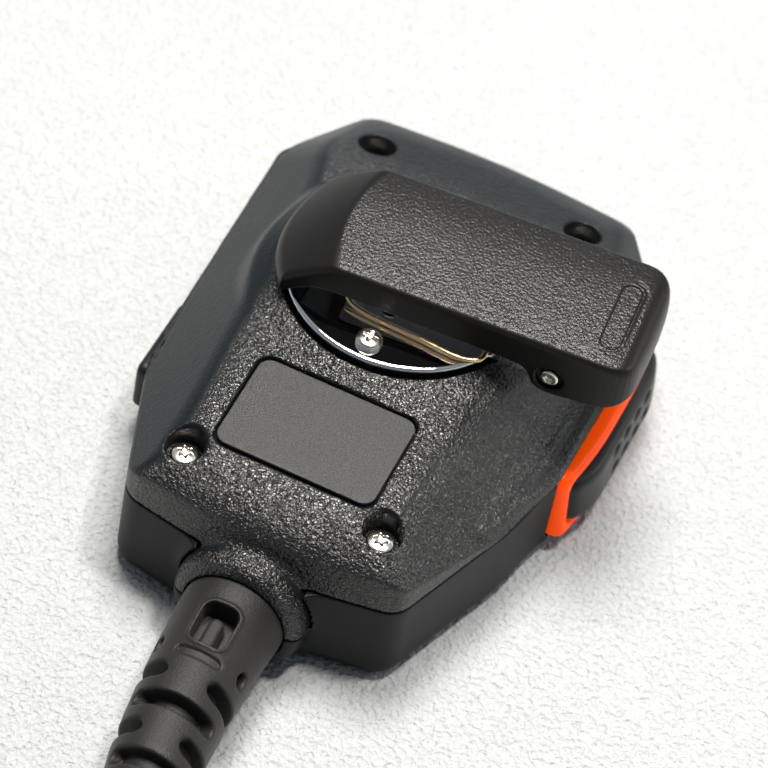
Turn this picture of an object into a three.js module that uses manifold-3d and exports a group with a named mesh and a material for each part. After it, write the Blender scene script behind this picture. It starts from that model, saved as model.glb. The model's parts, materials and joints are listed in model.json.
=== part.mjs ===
// Hand microphone for a two-way radio: a speaker microphone with a talk key on its side, a cord out of
// its bottom and a swivelling spring clip on its back.
// Millimetres, +Z up. The microphone lies on its front face, so z = 0 is the front face and +Z points
// out of its back. +Y points to its top, -Y along the cord, +X to the talk-key side.

import * as THREE from 'three';
import { mergeVertices } from 'three/addons/utils/BufferGeometryUtils.js';
import Module from 'manifold-3d';

const wasm = await Module();
wasm.setup();

// ---------------------------------------------------------------- driving dimensions

const gap = 0.3; // clearance between neighbours that move or are cut by one another
const fit = 0.1; // clearance between pieces fixed together
const round = 20; // sides of a round piece

// case
const sideX = 31; // half width at the widest place
const topY = 45.7;
const bottomY = -45.8;
const partingZ = 15.4; // where the front and rear halves meet
const partingGap = 0.2;
const wall = 2.1;
const frontFloor = 2; // thickness of the front face
const frontEdge = 3.1; // rounding around the front face
const backPeakZ = 27.8; // highest place of the rear half, at the clip
const bevelRun = 11.6; // how far the flanks of the rear half lean inwards
const bevelRise = 12;

// case screws
const screwPlaces = [[-15.1, -36.5], [15.1, -36.5], [-16.8, 32], [16.8, 32]];
const screwHeadZ = [21.4, 17.6]; // underside of the heads at the bottom pair and at the top pair
const headR = 2.15;
const headHeight = 1.5;
const shankR = 1.2;
const counterboreR = 2.8;
const postR = 3.6;

// label
const label = { x: 24.3, y: 16.6, corner: 2, thick: 0.5, tilt: 0.055, at: [0, -26.5, 26.1] };

// swivelling clip
const swivelAt = [0, 3.4];
const clipTurn = THREE.MathUtils.degToRad(4.4); // the tab points to +X, turned a little towards +Y
const discR = 17.6;
const discTopZ = 30.1;
const discThick = 1;
const wellR = 17.9;
const ringR = 19.4;
const ringTopZ = 28.9;
const wellFloorZ = 26.9;
const hubR = 8.6;
const baseScrewPlaces = [[-0.8, -14.1], [0.8, 14.1]]; // seen from the swivel, as are the next three
const rivetPlace = [0, -7.8];
const tongue = { from: 9.2, to: 28.8, width: 15.6 };
const pinX = 24.8; // hinge pin of the lever
const pinZ = 32.2;
const pinR = 1;
const leverTopZ = 39;
const leverHalf = 11; // half width of the lever
const springWireR = 0.4;
const leverWall = 1.5;
const noseR = 19.2;
const tabX = 36.9;
const leverLowZ = 33; // lower edge of the lever's sides
const tabLowZ = 29.3; // lower edge of the sides around the tab, where it is lowest

// talk key, on the +X side
const key = { y: [-7.8, 28.6], z: [2.3, 15.1], face: 34.3, root: 28.6, band: 1.9, crown: 35.6 };
const keyEnds = { run: 9.3, drop: 1.5, crownRun: 5, crownDrop: 2.2 }; // how the face falls off at both ends
const keyDraft = 0.09; // the key's outside leans out towards the front of the case
const keyMid = [(key.y[0] + key.y[1]) / 2, (key.z[0] + key.z[1]) / 2];
const keyGap = 0.7; // free travel before the key reaches its switch
const switchX = 23; // face of the switch under the key
const plungerOut = 0.75;

// accessory jack and its cover, on the -X side
const jack = { y: -10.8, z: 9, coverY: [-18.5, -3.2], coverZ: [4.6, 13.4], face: -30.9, root: -28.9 };

// cord and its boot
const cordZ = 9;
const cordR = 3.1;
const cordEndY = -118;
const bootR = 7.6;
const bootEndR = 5.2;
const bootStartY = -49;
const bootEndY = -92;
const collarR = 10;
const slotPitch = 5;
const slotWidth = 2.4;
const firstSlotY = -65.5;
const bendFromY = -50; // from here the boot leans towards +X, up to bendToY, and runs straight on
const bendToY = -84;
const bendRate = 0.0024;

// electronics
const boardZ = 13;
const boardThick = 1.2;
const speakerAt = [0, 9];
const speakerR = 17.6;
const micAt = [8.5, -30.4];
const boardScrewY = [36, -22];

// ---------------------------------------------------------------- materials

function plastic(colour, roughness) {
  return new THREE.MeshStandardMaterial({ color: colour, roughness, metalness: 0 });
}

function metal(colour, roughness) {
  return new THREE.MeshStandardMaterial({ color: colour, roughness, metalness: 1 });
}

const looks = {
  rearPlastic: plastic(0x1b1a1a, 0.45),
  frontPlastic: plastic(0x15171a, 0.6),
  leverPlastic: plastic(0x1a1918, 0.5),
  innerPlastic: plastic(0x2a2a2c, 0.6),
  orange: plastic(0xff4a08, 0.3),
  label: plastic(0x2c2b2a, 0.55),
  rubber: plastic(0x17181a, 0.85),
  bootRubber: plastic(0x2a2624, 0.8),
  chrome: metal(0xe8e8ea, 0.08),
  nickel: metal(0xc9c2b4, 0.25),
  springSteel: metal(0xb08d5a, 0.3),
  steel: metal(0x9a9da1, 0.4),
  board: plastic(0x1d5a35, 0.5),
  paper: plastic(0x3a3a3a, 0.9),
  cloth: plastic(0x101010, 1),
  red: plastic(0xb5221c, 0.5),
  white: plastic(0xe6e4de, 0.5),
  green: plastic(0x1e7a3c, 0.5),
  black: plastic(0x111111, 0.5),
};

// ---------------------------------------------------------------- solids, joins and cuts

function signedVolume(positions, indices) {
  const a = new THREE.Vector3();
  const b = new THREE.Vector3();
  const c = new THREE.Vector3();
  let total = 0;
  for (let i = 0; i < indices.length; i += 3) {
    a.fromArray(positions, 3 * indices[i]);
    b.fromArray(positions, 3 * indices[i + 1]);
    c.fromArray(positions, 3 * indices[i + 2]);
    total += a.dot(b.cross(c));
  }
  return total / 6;
}

// The closed solid of a geometry, with its faces pointing out.
function solid(geometry) {
  const bare = geometry.clone();
  bare.deleteAttribute('normal');
  bare.deleteAttribute('uv');
  const merged = mergeVertices(bare, 1e-4);
  const positions = new Float32Array(merged.attributes.position.array);
  const indices = new Uint32Array(merged.index.array);
  if (signedVolume(positions, indices) < 0) indices.reverse();
  return new wasm.Manifold(new wasm.Mesh({ numProp: 3, vertProperties: positions, triVerts: indices }));
}

function unite(first, ...others) {
  return others.reduce((whole, piece) => whole.add(piece), first);
}

function cut(first, ...others) {
  return others.reduce((whole, piece) => whole.subtract(piece), first);
}

// The same body with every point moved along x by a distance that depends on where it is.
function sheared(body, distance) {
  const data = body.getMesh();
  const positions = new Float32Array(data.vertProperties);
  for (let i = 0; i < positions.length; i += 3) {
    positions[i] += distance(new THREE.Vector3().fromArray(positions, i));
  }
  return new wasm.Manifold(new wasm.Mesh({ numProp: 3, vertProperties: positions, triVerts: data.triVerts }));
}

function asMesh(name, body, material) {
  const data = body.getMesh();
  const geometry = new THREE.BufferGeometry();
  geometry.setAttribute('position', new THREE.BufferAttribute(new Float32Array(data.vertProperties), 3));
  geometry.setIndex(new THREE.BufferAttribute(new Uint32Array(data.triVerts), 1));
  geometry.computeVertexNormals();
  const mesh = new THREE.Mesh(geometry, material);
  mesh.name = name;
  return mesh;
}

// ---------------------------------------------------------------- outlines and sweeps

// A closed shape through corners [x, y, radius], with each corner rounded.
function roundedShape(corners) {
  const shape = new THREE.Shape();
  corners.forEach(([x, y, radius], i) => {
    const here = new THREE.Vector2(x, y);
    const last = corners[(i + corners.length - 1) % corners.length];
    const next = corners[(i + 1) % corners.length];
    const back = new THREE.Vector2(last[0] - x, last[1] - y).normalize();
    const on = new THREE.Vector2(next[0] - x, next[1] - y).normalize();
    const turn = Math.PI - Math.acos(THREE.MathUtils.clamp(back.dot(on), -1, 1));
    const reach = radius * Math.tan(turn / 2);
    const start = back.multiplyScalar(reach).add(here);
    const end = on.multiplyScalar(reach).add(here);
    if (i === 0) shape.moveTo(start.x, start.y);
    else shape.lineTo(start.x, start.y);
    if (reach > 0) shape.quadraticCurveTo(x, y, end.x, end.y);
  });
  shape.closePath();
  return shape;
}

// The same corners moved inwards by a distance; corners run anticlockwise.
function inset(corners, distance) {
  const edges = corners.map(([x, y], i) => {
    const [nextX, nextY] = corners[(i + 1) % corners.length];
    const along = new THREE.Vector2(nextX - x, nextY - y).normalize();
    const inward = new THREE.Vector2(-along.y, along.x);
    return { point: inward.multiplyScalar(distance).add(new THREE.Vector2(x, y)), along };
  });
  return corners.map(([, , radius], i) => {
    const a = edges[(i + edges.length - 1) % edges.length];
    const b = edges[i];
    const across = new THREE.Vector2().subVectors(b.point, a.point);
    const t = across.cross(b.along) / a.along.cross(b.along);
    const corner = radius === 0 ? 0 : Math.max(radius - distance, 0.8); // a sharp corner stays sharp
    return [a.point.x + a.along.x * t, a.point.y + a.along.y * t, corner];
  });
}

function rectangle(x, y, width, height, radius) {
  const w = width / 2;
  const h = height / 2;
  return [[x - w, y - h, radius], [x + w, y - h, radius], [x + w, y + h, radius], [x - w, y + h, radius]];
}

function circle(x, y, radius) {
  return new THREE.Shape().absarc(x, y, radius, 0, 2 * Math.PI);
}

const sweep = { bevelEnabled: false, curveSegments: 2 };

// Settings that round or chamfer both ends of a sweep within its outline.
function bevel(rise, run, bevelSegments = 2) {
  return { bevelEnabled: true, bevelThickness: rise, bevelSize: run, bevelOffset: -run, bevelSegments };
}

// A shape drawn in x and y, swept from z = low to z = high.
function alongZ(shape, low, high, options = {}) {
  const settings = { ...sweep, depth: high - low, ...options };
  return solid(new THREE.ExtrudeGeometry(shape, settings).translate(0, 0, low));
}

// A shape drawn in y and z, swept from x = low to x = high.
function alongX(shape, low, high, options = {}) {
  const geometry = new THREE.ExtrudeGeometry(shape, { ...sweep, depth: high - low, ...options });
  geometry.applyMatrix4(new THREE.Matrix4().set(0, 0, 1, low, 1, 0, 0, 0, 0, 1, 0, 0, 0, 0, 0, 1));
  return solid(geometry);
}

// A shape drawn in x and z, swept from y = low to y = high.
function alongY(shape, low, high, options = {}) {
  const geometry = new THREE.ExtrudeGeometry(shape, { ...sweep, depth: high - low, ...options });
  return solid(geometry.rotateX(Math.PI / 2).translate(0, high, 0));
}

// Round pieces: a full circle is drawn with twice as many sides as its curveSegments.
function roundZ(x, y, radius, low, high, sides = round) {
  return alongZ(circle(x, y, radius), low, high, { curveSegments: sides / 2 });
}

function roundY(x, z, radius, low, high, sides = round) {
  return alongY(circle(x, z, radius), low, high, { curveSegments: sides / 2 });
}

function roundX(y, z, radius, low, high, sides = round) {
  return alongX(circle(y, z, radius), low, high, { curveSegments: sides / 2 });
}

function box(low, high) {
  const size = high.map((value, i) => value - low[i]);
  const geometry = new THREE.BoxGeometry(...size);
  return solid(geometry.translate(low[0] + size[0] / 2, low[1] + size[1] / 2, low[2] + size[2] / 2));
}

// A profile of [radius, height] turned about an upright line at x, y.
function turnedZ(x, y, profile, sides = round) {
  const points = profile.map(([radius, height]) => new THREE.Vector2(radius, height));
  const geometry = new THREE.LatheGeometry([...points, points[0]], sides);
  return solid(geometry.rotateX(Math.PI / 2).translate(x, y, 0));
}

// A profile of [radius, y] turned about the cord's line.
function turnedY(profile, sides = round) {
  const points = profile.map(([radius, y]) => new THREE.Vector2(radius, y));
  const geometry = new THREE.LatheGeometry([...points, points[0]], sides);
  return solid(geometry.translate(0, 0, cordZ));
}

function tube(points, radius, steps, sides = 4) {
  const path = new THREE.CatmullRomCurve3(points.map((p) => new THREE.Vector3(...p)), false, 'centripetal');
  const options = { steps, extrudePath: path, bevelEnabled: false, curveSegments: sides };
  return solid(new THREE.ExtrudeGeometry(circle(0, 0, radius), options));
}

// ---------------------------------------------------------------- case

// Right half of the case outline from the bottom to the top, as x, y and corner radius.
const rightSide = [
  [21.2, -41.9, 4.6],
  [29.6, -17.5, 25],
  [sideX, 30, 4.6],
  [21.8, 42.9, 3.5],
];

function mirrored(half) {
  return half.map(([x, y, radius]) => [-x, y, radius]).reverse();
}

const caseCorners = [[0, bottomY, 40], ...rightSide, [0, topY, 40], ...mirrored(rightSide)];

function caseShape(distance = 0) {
  return roundedShape(distance ? inset(caseCorners, distance) : caseCorners);
}

// The back of the case seen from the side, as y and z, lowered by a distance.
function backProfile(drop, end) {
  const shape = new THREE.Shape();
  shape.moveTo(bottomY - 1 + end, partingZ - 6);
  shape.lineTo(bottomY + 0.4 + end, partingZ - drop);
  shape.quadraticCurveTo(bottomY + 1.2 + end, 22.4 - drop, -42.2 + end / 2, 23.5 - drop);
  shape.quadraticCurveTo(-34.5, 26.6 - drop, -22, 27.2 - drop);
  shape.quadraticCurveTo(-10, backPeakZ - drop, 3, backPeakZ - drop);
  shape.quadraticCurveTo(18, backPeakZ - drop, 41.6 - end / 2, 19.5 - drop);
  shape.quadraticCurveTo(44.1 - end, 17.4 - drop, topY - 0.4 - end, partingZ - drop);
  shape.lineTo(topY + 1 - end, partingZ - 6);
  return shape;
}

// The leaning flanks of the rear half: its ends stay almost upright, so their edges start further out.
function flanks(distance, low) {
  const corners = [[0, bottomY - 6, 0], [24.6, -47.5, 0], [29.6, -17.5, 0], [sideX, 30, 0], [22.4, 43.9, 0]];
  const mirror = mirrored(corners.slice(1));
  const shape = roundedShape(inset([...corners, [0, topY + 1, 0], ...mirror], distance));
  return alongZ(shape, low - 8, low, bevel(bevelRise, bevelRun, 1));
}

function boardPosts() {
  return boardScrewY.map((y) => roundZ(0, y, 2.2, frontFloor - 0.5, boardZ, 16));
}

// Room for the frame of the talk key, up to the parting line.
function keyOpening() {
  const width = key.y[1] - key.y[0] + 2 * gap;
  const low = key.z[0] - gap;
  const high = partingZ;
  const corners = rectangle(keyMid[0], (low + high) / 2, width, high - low, 2.4);
  return alongX(roundedShape(corners), key.root - gap - 3, sideX + 6);
}

function jackPocket() {
  const y = (jack.coverY[0] + jack.coverY[1]) / 2;
  const z = (jack.coverZ[0] + jack.coverZ[1]) / 2;
  const width = jack.coverY[1] - jack.coverY[0] + 2 * gap;
  const height = jack.coverZ[1] - jack.coverZ[0] + 2 * gap;
  return alongX(roundedShape(rectangle(y, z, width, height, 1.6)), -sideX - 4, jack.root + gap);
}

function grilleSlots() {
  const pitch = 3.6;
  const slots = [];
  for (let i = -4; i <= 4; i += 1) {
    const half = Math.sqrt(16.4 ** 2 - (pitch * i) ** 2) - 0.8;
    const shape = roundedShape(rectangle(speakerAt[0], speakerAt[1] + pitch * i, 2 * half, 1.6, 0.75));
    slots.push(alongZ(shape, -1, frontFloor + 1, { curveSegments: 2 }));
  }
  return slots;
}

// The collar around the boot is split between the two halves at the height of the cord.
function collarHalf(top) {
  const ring = turnedY([
    [0, -40], [0, bootStartY + 0.2], [collarR - 1.4, bootStartY + 0.2],
    [collarR, bootStartY + 1.8], [collarR, -40],
  ]);
  const low = top ? cordZ + partingGap / 2 : 0;
  const high = top ? 40 : cordZ - partingGap / 2;
  return ring.intersect(box([-20, -60, low], [20, -40, high]));
}

function bootPassage() {
  return unite(
    roundY(0, cordZ, bootR + fit, -60, bootStartY + 2.7),
    roundY(0, cordZ, 6.2 + fit, -60, -38),
    roundY(0, cordZ, 8 + fit, -44.2, -39),
  );
}

function frontCase() {
  const high = partingZ - partingGap / 2;
  const outer = alongZ(caseShape(), frontEdge, partingZ + 6, bevel(frontEdge, frontEdge));
  const keep = box([-60, -60, 0], [60, 60, high]);
  const cavity = alongZ(caseShape(wall), frontFloor, 40);
  const aboveCord = box([-20, -60, cordZ], [20, -38, 40]);
  const collarRoom = roundY(0, cordZ, collarR + gap, -60, -38).intersect(aboveCord);
  const root = frontFloor - 0.5; // posts and ribs grow out of the front face
  const posts = screwPlaces.map(([x, y]) => roundZ(x, y, postR, root, high, 14));
  const bootBlock = alongZ(roundedShape(rectangle(0, -42, 21, 7, 1)), root, partingZ - 3);
  const ribs = [-36.2, -40.4].map((y) => box([-6.5, y - 0.6, root], [6.5, y + 0.6, cordZ - 1]));
  const inside = unite(bootBlock, ...posts, ...boardPosts(), ...ribs);
  const shell = unite(cut(outer.intersect(keep), cavity), inside.intersect(alongZ(caseShape(0.8), 0.5, 40)));
  const body = unite(cut(shell, collarRoom), collarHalf(false));
  const pilots = screwPlaces.map(([x, y]) => roundZ(x, y, shankR + fit, 5, 30, 10));
  const boardPilots = boardScrewY.map((y) => roundZ(0, y, 0.9 + fit, 7, 30, 12));
  const jackHole = roundX(jack.y, jack.z, 3.6, -sideX - 4, -20);
  const micPort = roundZ(micAt[0], micAt[1], 0.9, -1, 5, 16);
  const cordRoom = roundY(0, cordZ, cordR + 2, -44, -30);
  const gasketGroove = gasketRing(0.1);
  return cut(
    body, keyOpening(), jackPocket(), jackHole, micPort, bootPassage(), cordRoom, gasketGroove,
    ...grilleSlots(), ...pilots, ...boardPilots,
  );
}

// A soft ledge of the rear case, along the top of the key's frame.
function keyShoulder(low) {
  const side = [[26, low, 0], [31.5, low, 0], [31.4, 16.1, 0], [30.8, 16.8, 0], [27.9, 17.7, 0], [26, 17.9, 0]];
  const plan = [[25, -20, 0], [29.2, -20, 0], [31.6, -7.8, 0], [31.6, 29.4, 0], [30.6, 34.5, 0], [25, 34.5, 0]];
  return alongY(roundedShape(side), -21, 35).intersect(alongZ(roundedShape(plan), low, 20));
}

function rearCase() {
  const low = partingZ + partingGap / 2;
  const outer = alongZ(caseShape(), low, 40)
    .intersect(flanks(0, partingZ))
    .intersect(alongX(backProfile(0, 0), -50, 50));
  const inner = alongZ(caseShape(wall), low - 1, 40)
    .intersect(flanks(wall, partingZ - 0.6))
    .intersect(alongX(backProfile(wall, wall), -50, 50));
  const ring = turnedZ(...swivelAt, [
    [0, 24.8], [22.4, 24.8], [22.4, 26.2], [ringR, ringTopZ - 0.7], [ringR - 0.5, ringTopZ], [0, ringTopZ],
  ], 40);
  const posts = screwPlaces.map(([x, y]) => roundZ(x, y, postR, low, 27, 14));
  const skin = alongX(backProfile(0.4, 0.4), -50, 50).intersect(flanks(0.4, partingZ));
  let body = unite(cut(outer, inner), ring, unite(...posts).intersect(skin));
  body = unite(body, collarHalf(true), keyShoulder(low));
  const well = roundZ(...swivelAt, wellR, wellFloorZ, 40, 40);
  const bore = roundZ(...swivelAt, hubR + gap, 20, 40);
  const underRoof = roundZ(...swivelAt, 12.4, 20, wellFloorZ - 2);
  const heads = screwPlaces.map(([x, y], i) => roundZ(x, y, counterboreR, screwHeadZ[i < 2 ? 0 : 1], 40, 16));
  const holes = screwPlaces.map(([x, y]) => roundZ(x, y, shankR + 0.2, 10, 40, 10));
  const labelRoom = placeLabel(
    alongZ(roundedShape(rectangle(0, 0, label.x + 2 * gap, label.y + 2 * gap, label.corner)), -gap, 4),
  );
  const underBoard = box([-11, -44.6, 0], [11, -37, partingZ + 2.6]);
  return cut(
    body, bootPassage(), underBoard.intersect(alongZ(caseShape(wall), 0, 40)),
    well, bore, underRoof, labelRoom, gasketRing(0.1), ...heads, ...holes,
  );
}

// The gasket lies in the middle of the wall, across the parting line, and stops beside the talk key and
// the cord, where those pieces seal against their own rubber.
function gasketRing(clearance) {
  const outer = alongZ(caseShape(1.1 - clearance), partingZ - 0.5 - clearance, partingZ + 0.5 + clearance);
  const inner = alongZ(caseShape(1.7 + clearance), partingZ - 3, partingZ + 3);
  const ring = cut(outer, inner);
  const reach = 1.5 - clearance;
  const keySide = box([sideX - 4, key.y[0] - reach, 0], [sideX + 4, key.y[1] + reach, 40]);
  return cut(ring, keySide);
}

// The gasket is one open strip, cut beside the cord collar and beside the talk key.
function caseGasket() {
  const cordSide = box([-collarR - 1.2, bottomY - 3, 0], [collarR + 1.2, bottomY + 4, 40]);
  const ring = cut(gasketRing(0), cordSide);
  const pieces = ring.decompose();
  return pieces.reduce((largest, piece) => (piece.volume() > largest.volume() ? piece : largest));
}

// A pan-headed case screw with a six-lobed recess, standing on the floor of its counterbore.
function caseScrew([x, y], seatZ) {
  const head = turnedZ(x, y, [
    [0, seatZ], [headR, seatZ], [headR, seatZ + headHeight * 0.55], [headR * 0.72, seatZ + headHeight],
    [0, seatZ + headHeight],
  ], 24);
  const shank = roundZ(x, y, shankR, 6.5, seatZ + 0.2, 12);
  const lobes = [0, 1, 2].map((i) => {
    const bar = box([-1.05, -0.32, 0], [1.05, 0.32, 3]).rotate([0, 0, 60 * i]);
    return bar.translate([x, y, seatZ + headHeight - 0.9]);
  });
  return cut(unite(head, shank), ...lobes);
}

function placeLabel(body) {
  return body.rotate([THREE.MathUtils.radToDeg(label.tilt), 0, 0]).translate(label.at);
}

function labelPlate() {
  const corners = rectangle(0, 0, label.x, label.y, label.corner - gap / 2);
  return placeLabel(alongZ(roundedShape(corners), 0, label.thick));
}

// ---------------------------------------------------------------- talk key

function keyFrameCorners() {
  return rectangle(...keyMid, key.y[1] - key.y[0], key.z[1] - key.z[0], 2.2);
}

function keyWindowCorners() {
  return inset(keyFrameCorners(), key.band).map(([y, z]) => [y, z, 1.8]);
}

// A profile in x and y that is flat in its middle and falls off at both ends.
function fallingOff(face, inwards, run, drop, radius) {
  const low = key.y[0] + inwards;
  const high = key.y[1] - inwards;
  return alongZ(roundedShape([
    [20, low, 0], [face - drop, low, 0], [face, low + run, radius],
    [face, high - run, radius], [face - drop, high, 0], [20, high, 0],
  ]), 0, 30, { curveSegments: 3 });
}

// The key's pieces lean outwards towards the front of the case.
function drafted(body) {
  return sheared(body, (position) => keyDraft * (keyMid[1] - position.z));
}

// The frame of the key stands out of the side of the case.
function keyBezel() {
  const frame = alongX(roundedShape(keyFrameCorners()), key.root, key.face + 4);
  const window = alongX(roundedShape(keyWindowCorners()), key.root - 2, key.face + 6);
  const edge = 0.7;
  const low = cut(frame, window).intersect(fallingOff(key.face - edge, 0, keyEnds.run, keyEnds.drop, 6));
  const top = alongX(roundedShape(inset(keyFrameCorners(), edge)), key.root, key.face + 4);
  const high = cut(top, window).intersect(fallingOff(key.face, 0, keyEnds.run, keyEnds.drop, 6));
  return drafted(unite(low, high));
}

// The rubber cap: crowned along its length, with two rows of oval dimples.
function keyCap() {
  const corners = inset(keyWindowCorners(), gap).map(([y, z]) => [y, z, 2.2]);
  const edge = 1.4;
  const block = alongX(roundedShape(corners), key.root + 2.6, key.crown - edge, bevel(edge, 1.2));
  const crown = fallingOff(key.crown, key.band, keyEnds.crownRun, keyEnds.crownDrop, 4);
  const shaped = block.intersect(crown);
  const dimples = [];
  for (const side of [-1.8, 1.8]) {
    for (let step = -2; step <= 2; step += 1) {
      const y = keyMid[0] + 3.8 + 3.9 * step;
      const oval = new THREE.Shape().absellipse(y, keyMid[1] + side, 1.5, 0.8, 0, 2 * Math.PI);
      dimples.push(alongX(oval, key.crown - 0.6, key.crown + 3));
    }
  }
  const coreRoom = alongX(roundedShape(keyCoreCorners(fit)), key.root, key.root + 2.5 + fit);
  return drafted(cut(shaped, coreRoom, ...dimples));
}

function keyCoreCorners(clearance) {
  return rectangle(...keyMid, 26 + 2 * clearance, 4.6 + 2 * clearance, 1);
}

// Stiff core of the key, ending in the foot that presses the switch.
function keyCore() {
  const end = key.root + 0.9;
  const plate = alongX(roundedShape(keyCoreCorners(0)), end, key.root + 2.5);
  const [y, z] = keyMid;
  const foot = box([switchX + plungerOut + keyGap, y - 1.5, z - 1.2], [end + 0.4, y + 1.5, z + 1.2]);
  return unite(drafted(plate), foot); // the foot stays square to the switch
}

function keySwitch() {
  const [y, z] = keyMid;
  const body = box([switchX - 3.4, y - 3, z - 2.2], [switchX, y + 3, boardZ - fit]);
  return cut(body, roundX(y, z, 1.15, switchX - 2, switchX + 1, 12));
}

function switchPlunger() {
  return roundX(...keyMid, 1, switchX - 1.4, switchX + plungerOut, 12);
}

// ---------------------------------------------------------------- jack

function jackCover() {
  const y = (jack.coverY[0] + jack.coverY[1]) / 2;
  const z = (jack.coverZ[0] + jack.coverZ[1]) / 2;
  const width = jack.coverY[1] - jack.coverY[0];
  const height = jack.coverZ[1] - jack.coverZ[0];
  const edge = 0.6;
  const shape = roundedShape(rectangle(y, z, width, height, 1.5));
  const flap = alongX(shape, jack.face + edge, jack.root - edge, bevel(edge, 0.7));
  const plug = roundX(jack.y, jack.z, 2.4, jack.root - 0.2, jack.root + 1.2, 16);
  return unite(flap, plug);
}

function jackSocket() {
  const body = box([-26.2, jack.y - 3, jack.z - 3], [-14, jack.y + 3, boardZ - fit]);
  const nose = roundX(jack.y, jack.z, 2.8, -27, -26);
  const bore = roundX(jack.y, jack.z, 1.8, -30, -15.5, 16);
  return cut(unite(body, nose), bore);
}

// ---------------------------------------------------------------- speaker, microphone and board

function speakerFrame() {
  return turnedZ(...speakerAt, [
    [14.6, 3], [speakerR, 3], [speakerR, 4.2], [15.6, 4.6], [10, 8.6], [9, 8.8],
    [5.4, 8.8], [5.4, 8], [9.2, 8], [14.6, 4.2],
  ]);
}

function speakerMagnet() {
  return roundZ(...speakerAt, 8.4, 8.9, 12);
}

function speakerCone() {
  const below = [[0, 4.4], [4.6, 3.5], [9.4, 5.6], [13.9, 3.2]];
  const above = [[14.4, 3.2], [9.4, 6.3], [4.6, 4.2], [0, 5]];
  return turnedZ(...speakerAt, [...below, ...above]);
}

function speakerGasket() {
  return turnedZ(...speakerAt, [[14.9, 2.35], [speakerR, 2.35], [speakerR, 2.95], [14.9, 2.95]]);
}

function grilleCloth() {
  return roundZ(...speakerAt, speakerR, frontFloor + 0.05, frontFloor + 0.3);
}

function micBoot() {
  return turnedZ(...micAt, [[1.2, 2.05], [4.3, 2.05], [4.3, 6], [3.1, 6], [3.1, 3], [1.2, 3]]);
}

function micCapsule() {
  return roundZ(...micAt, 3, 3.1, 5.8);
}

function circuitBoard() {
  const board = alongZ(caseShape(5.2), boardZ, boardZ + boardThick);
  const cordSide = box([-30, -60, 0], [30, -31.4, 40]);
  const posts = screwPlaces.map(([x, y]) => roundZ(x, y, postR + gap, 5, 30, 14));
  const holes = boardScrewY.map((y) => roundZ(0, y, 1.05, 5, 30, 12));
  const edge = box([switchX + 0.6, -30, 0], [60, 60, 40]);
  return cut(board, cordSide, edge, ...posts, ...holes);
}

function boardScrew(y) {
  const seat = boardZ + boardThick + 0.02;
  const head = roundZ(0, y, 1.9, seat, seat + 1.2, 16);
  const slot = box([-1.4, y - 0.25, seat + 0.6], [1.4, y + 0.25, seat + 3]);
  return cut(unite(head, roundZ(0, y, 0.9, 8, seat + 0.2, 10)), slot);
}

// ---------------------------------------------------------------- cord

// How far the cord has leant towards +X at a place along it.
function lean(y) {
  const along = Math.max(bendFromY - y, 0);
  const bent = Math.min(along, bendFromY - bendToY);
  return bendRate * bent ** 2 + 2 * bendRate * bent * (along - bent);
}

// The same body leaning with the cord.
function leaning(body) {
  return sheared(body, (position) => lean(position.y));
}

// An arc-shaped flex slot of the boot, centred on an angle seen along the cord.
function flexSlot(y, angle, span) {
  const shape = new THREE.Shape();
  shape.absarc(0, 0, bootR + 3, angle - span, angle + span, false);
  shape.absarc(0, 0, 4.4, angle + span, angle - span, true);
  shape.closePath();
  return alongY(shape, y - slotWidth / 2, y + slotWidth / 2, { curveSegments: 4 }).translate([0, 0, cordZ]);
}

function cordBoot() {
  const bore = cordR + 0.2;
  const outside = [[bootR, bootStartY - 1], [7.2, -58], [6.8, -68], [6.4, -78], [bootEndR + 0.4, -86]];
  const inside = [-86, -78, -68, -58].map((y) => [bore, y]);
  const body = turnedY([
    [bore, -40], [7.6, -40], [7.6, -42.4], [6.2, -42.4], [6.2, bootStartY + 2.6], [bootR, bootStartY + 2.6],
    ...outside, [bootEndR, bootEndY + 0.6], [bootEndR - 0.6, bootEndY], [bore, bootEndY], ...inside,
  ]);
  const slots = [];
  for (let i = 0; i < 5; i += 1) {
    const turn = i % 2 ? Math.PI / 2 : 0;
    const y = firstSlotY - slotPitch * i;
    slots.push(flexSlot(y, turn, 1.2), flexSlot(y, turn + Math.PI, 1.2));
  }
  const window = alongZ(roundedShape(rectangle(0, -56.5, 5.2, 7, 1.4)), cordZ + 5.4, cordZ + 12);
  const bar = alongZ(roundedShape(rectangle(0, -57, 1.6, 5.6, 0.6)), cordZ + 5.2, cordZ + 6.6);
  return leaning(unite(cut(body, window, ...slots), bar));
}

function cordJacket() {
  const outer = [];
  for (let y = cordEndY; y < -46; y += 8) outer.push([cordR, y]);
  outer.push([cordR, -37.6]);
  const inner = outer.map(([, y]) => [2.2, y]).reverse();
  return leaning(turnedY([...outer, ...inner], 16));
}

function cordAnchor() {
  return turnedY([[cordR + 0.1, -39.6], [4.8, -39.6], [4.8, -37.4], [cordR + 0.1, -37.4]], 16);
}

// A wire from the cut end of the cord through the jacket to the board.
function wire(offsetX, offsetZ, spread) {
  const z = cordZ + offsetZ;
  const inJacket = [cordEndY, -101, -84, -67, -50, -40].map((y) => [offsetX + lean(y), y, z]);
  const toBoard = [[offsetX, -36.5, z], [spread * 0.7, -32.5, z - 0.4], [spread, -29.4, 10.4]];
  return tube([...inJacket, ...toBoard, [spread, -28.6, boardZ - gap]], 0.65, 22, 3);
}

// ---------------------------------------------------------------- clip, drawn with its swivel at x = y = 0

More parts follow.
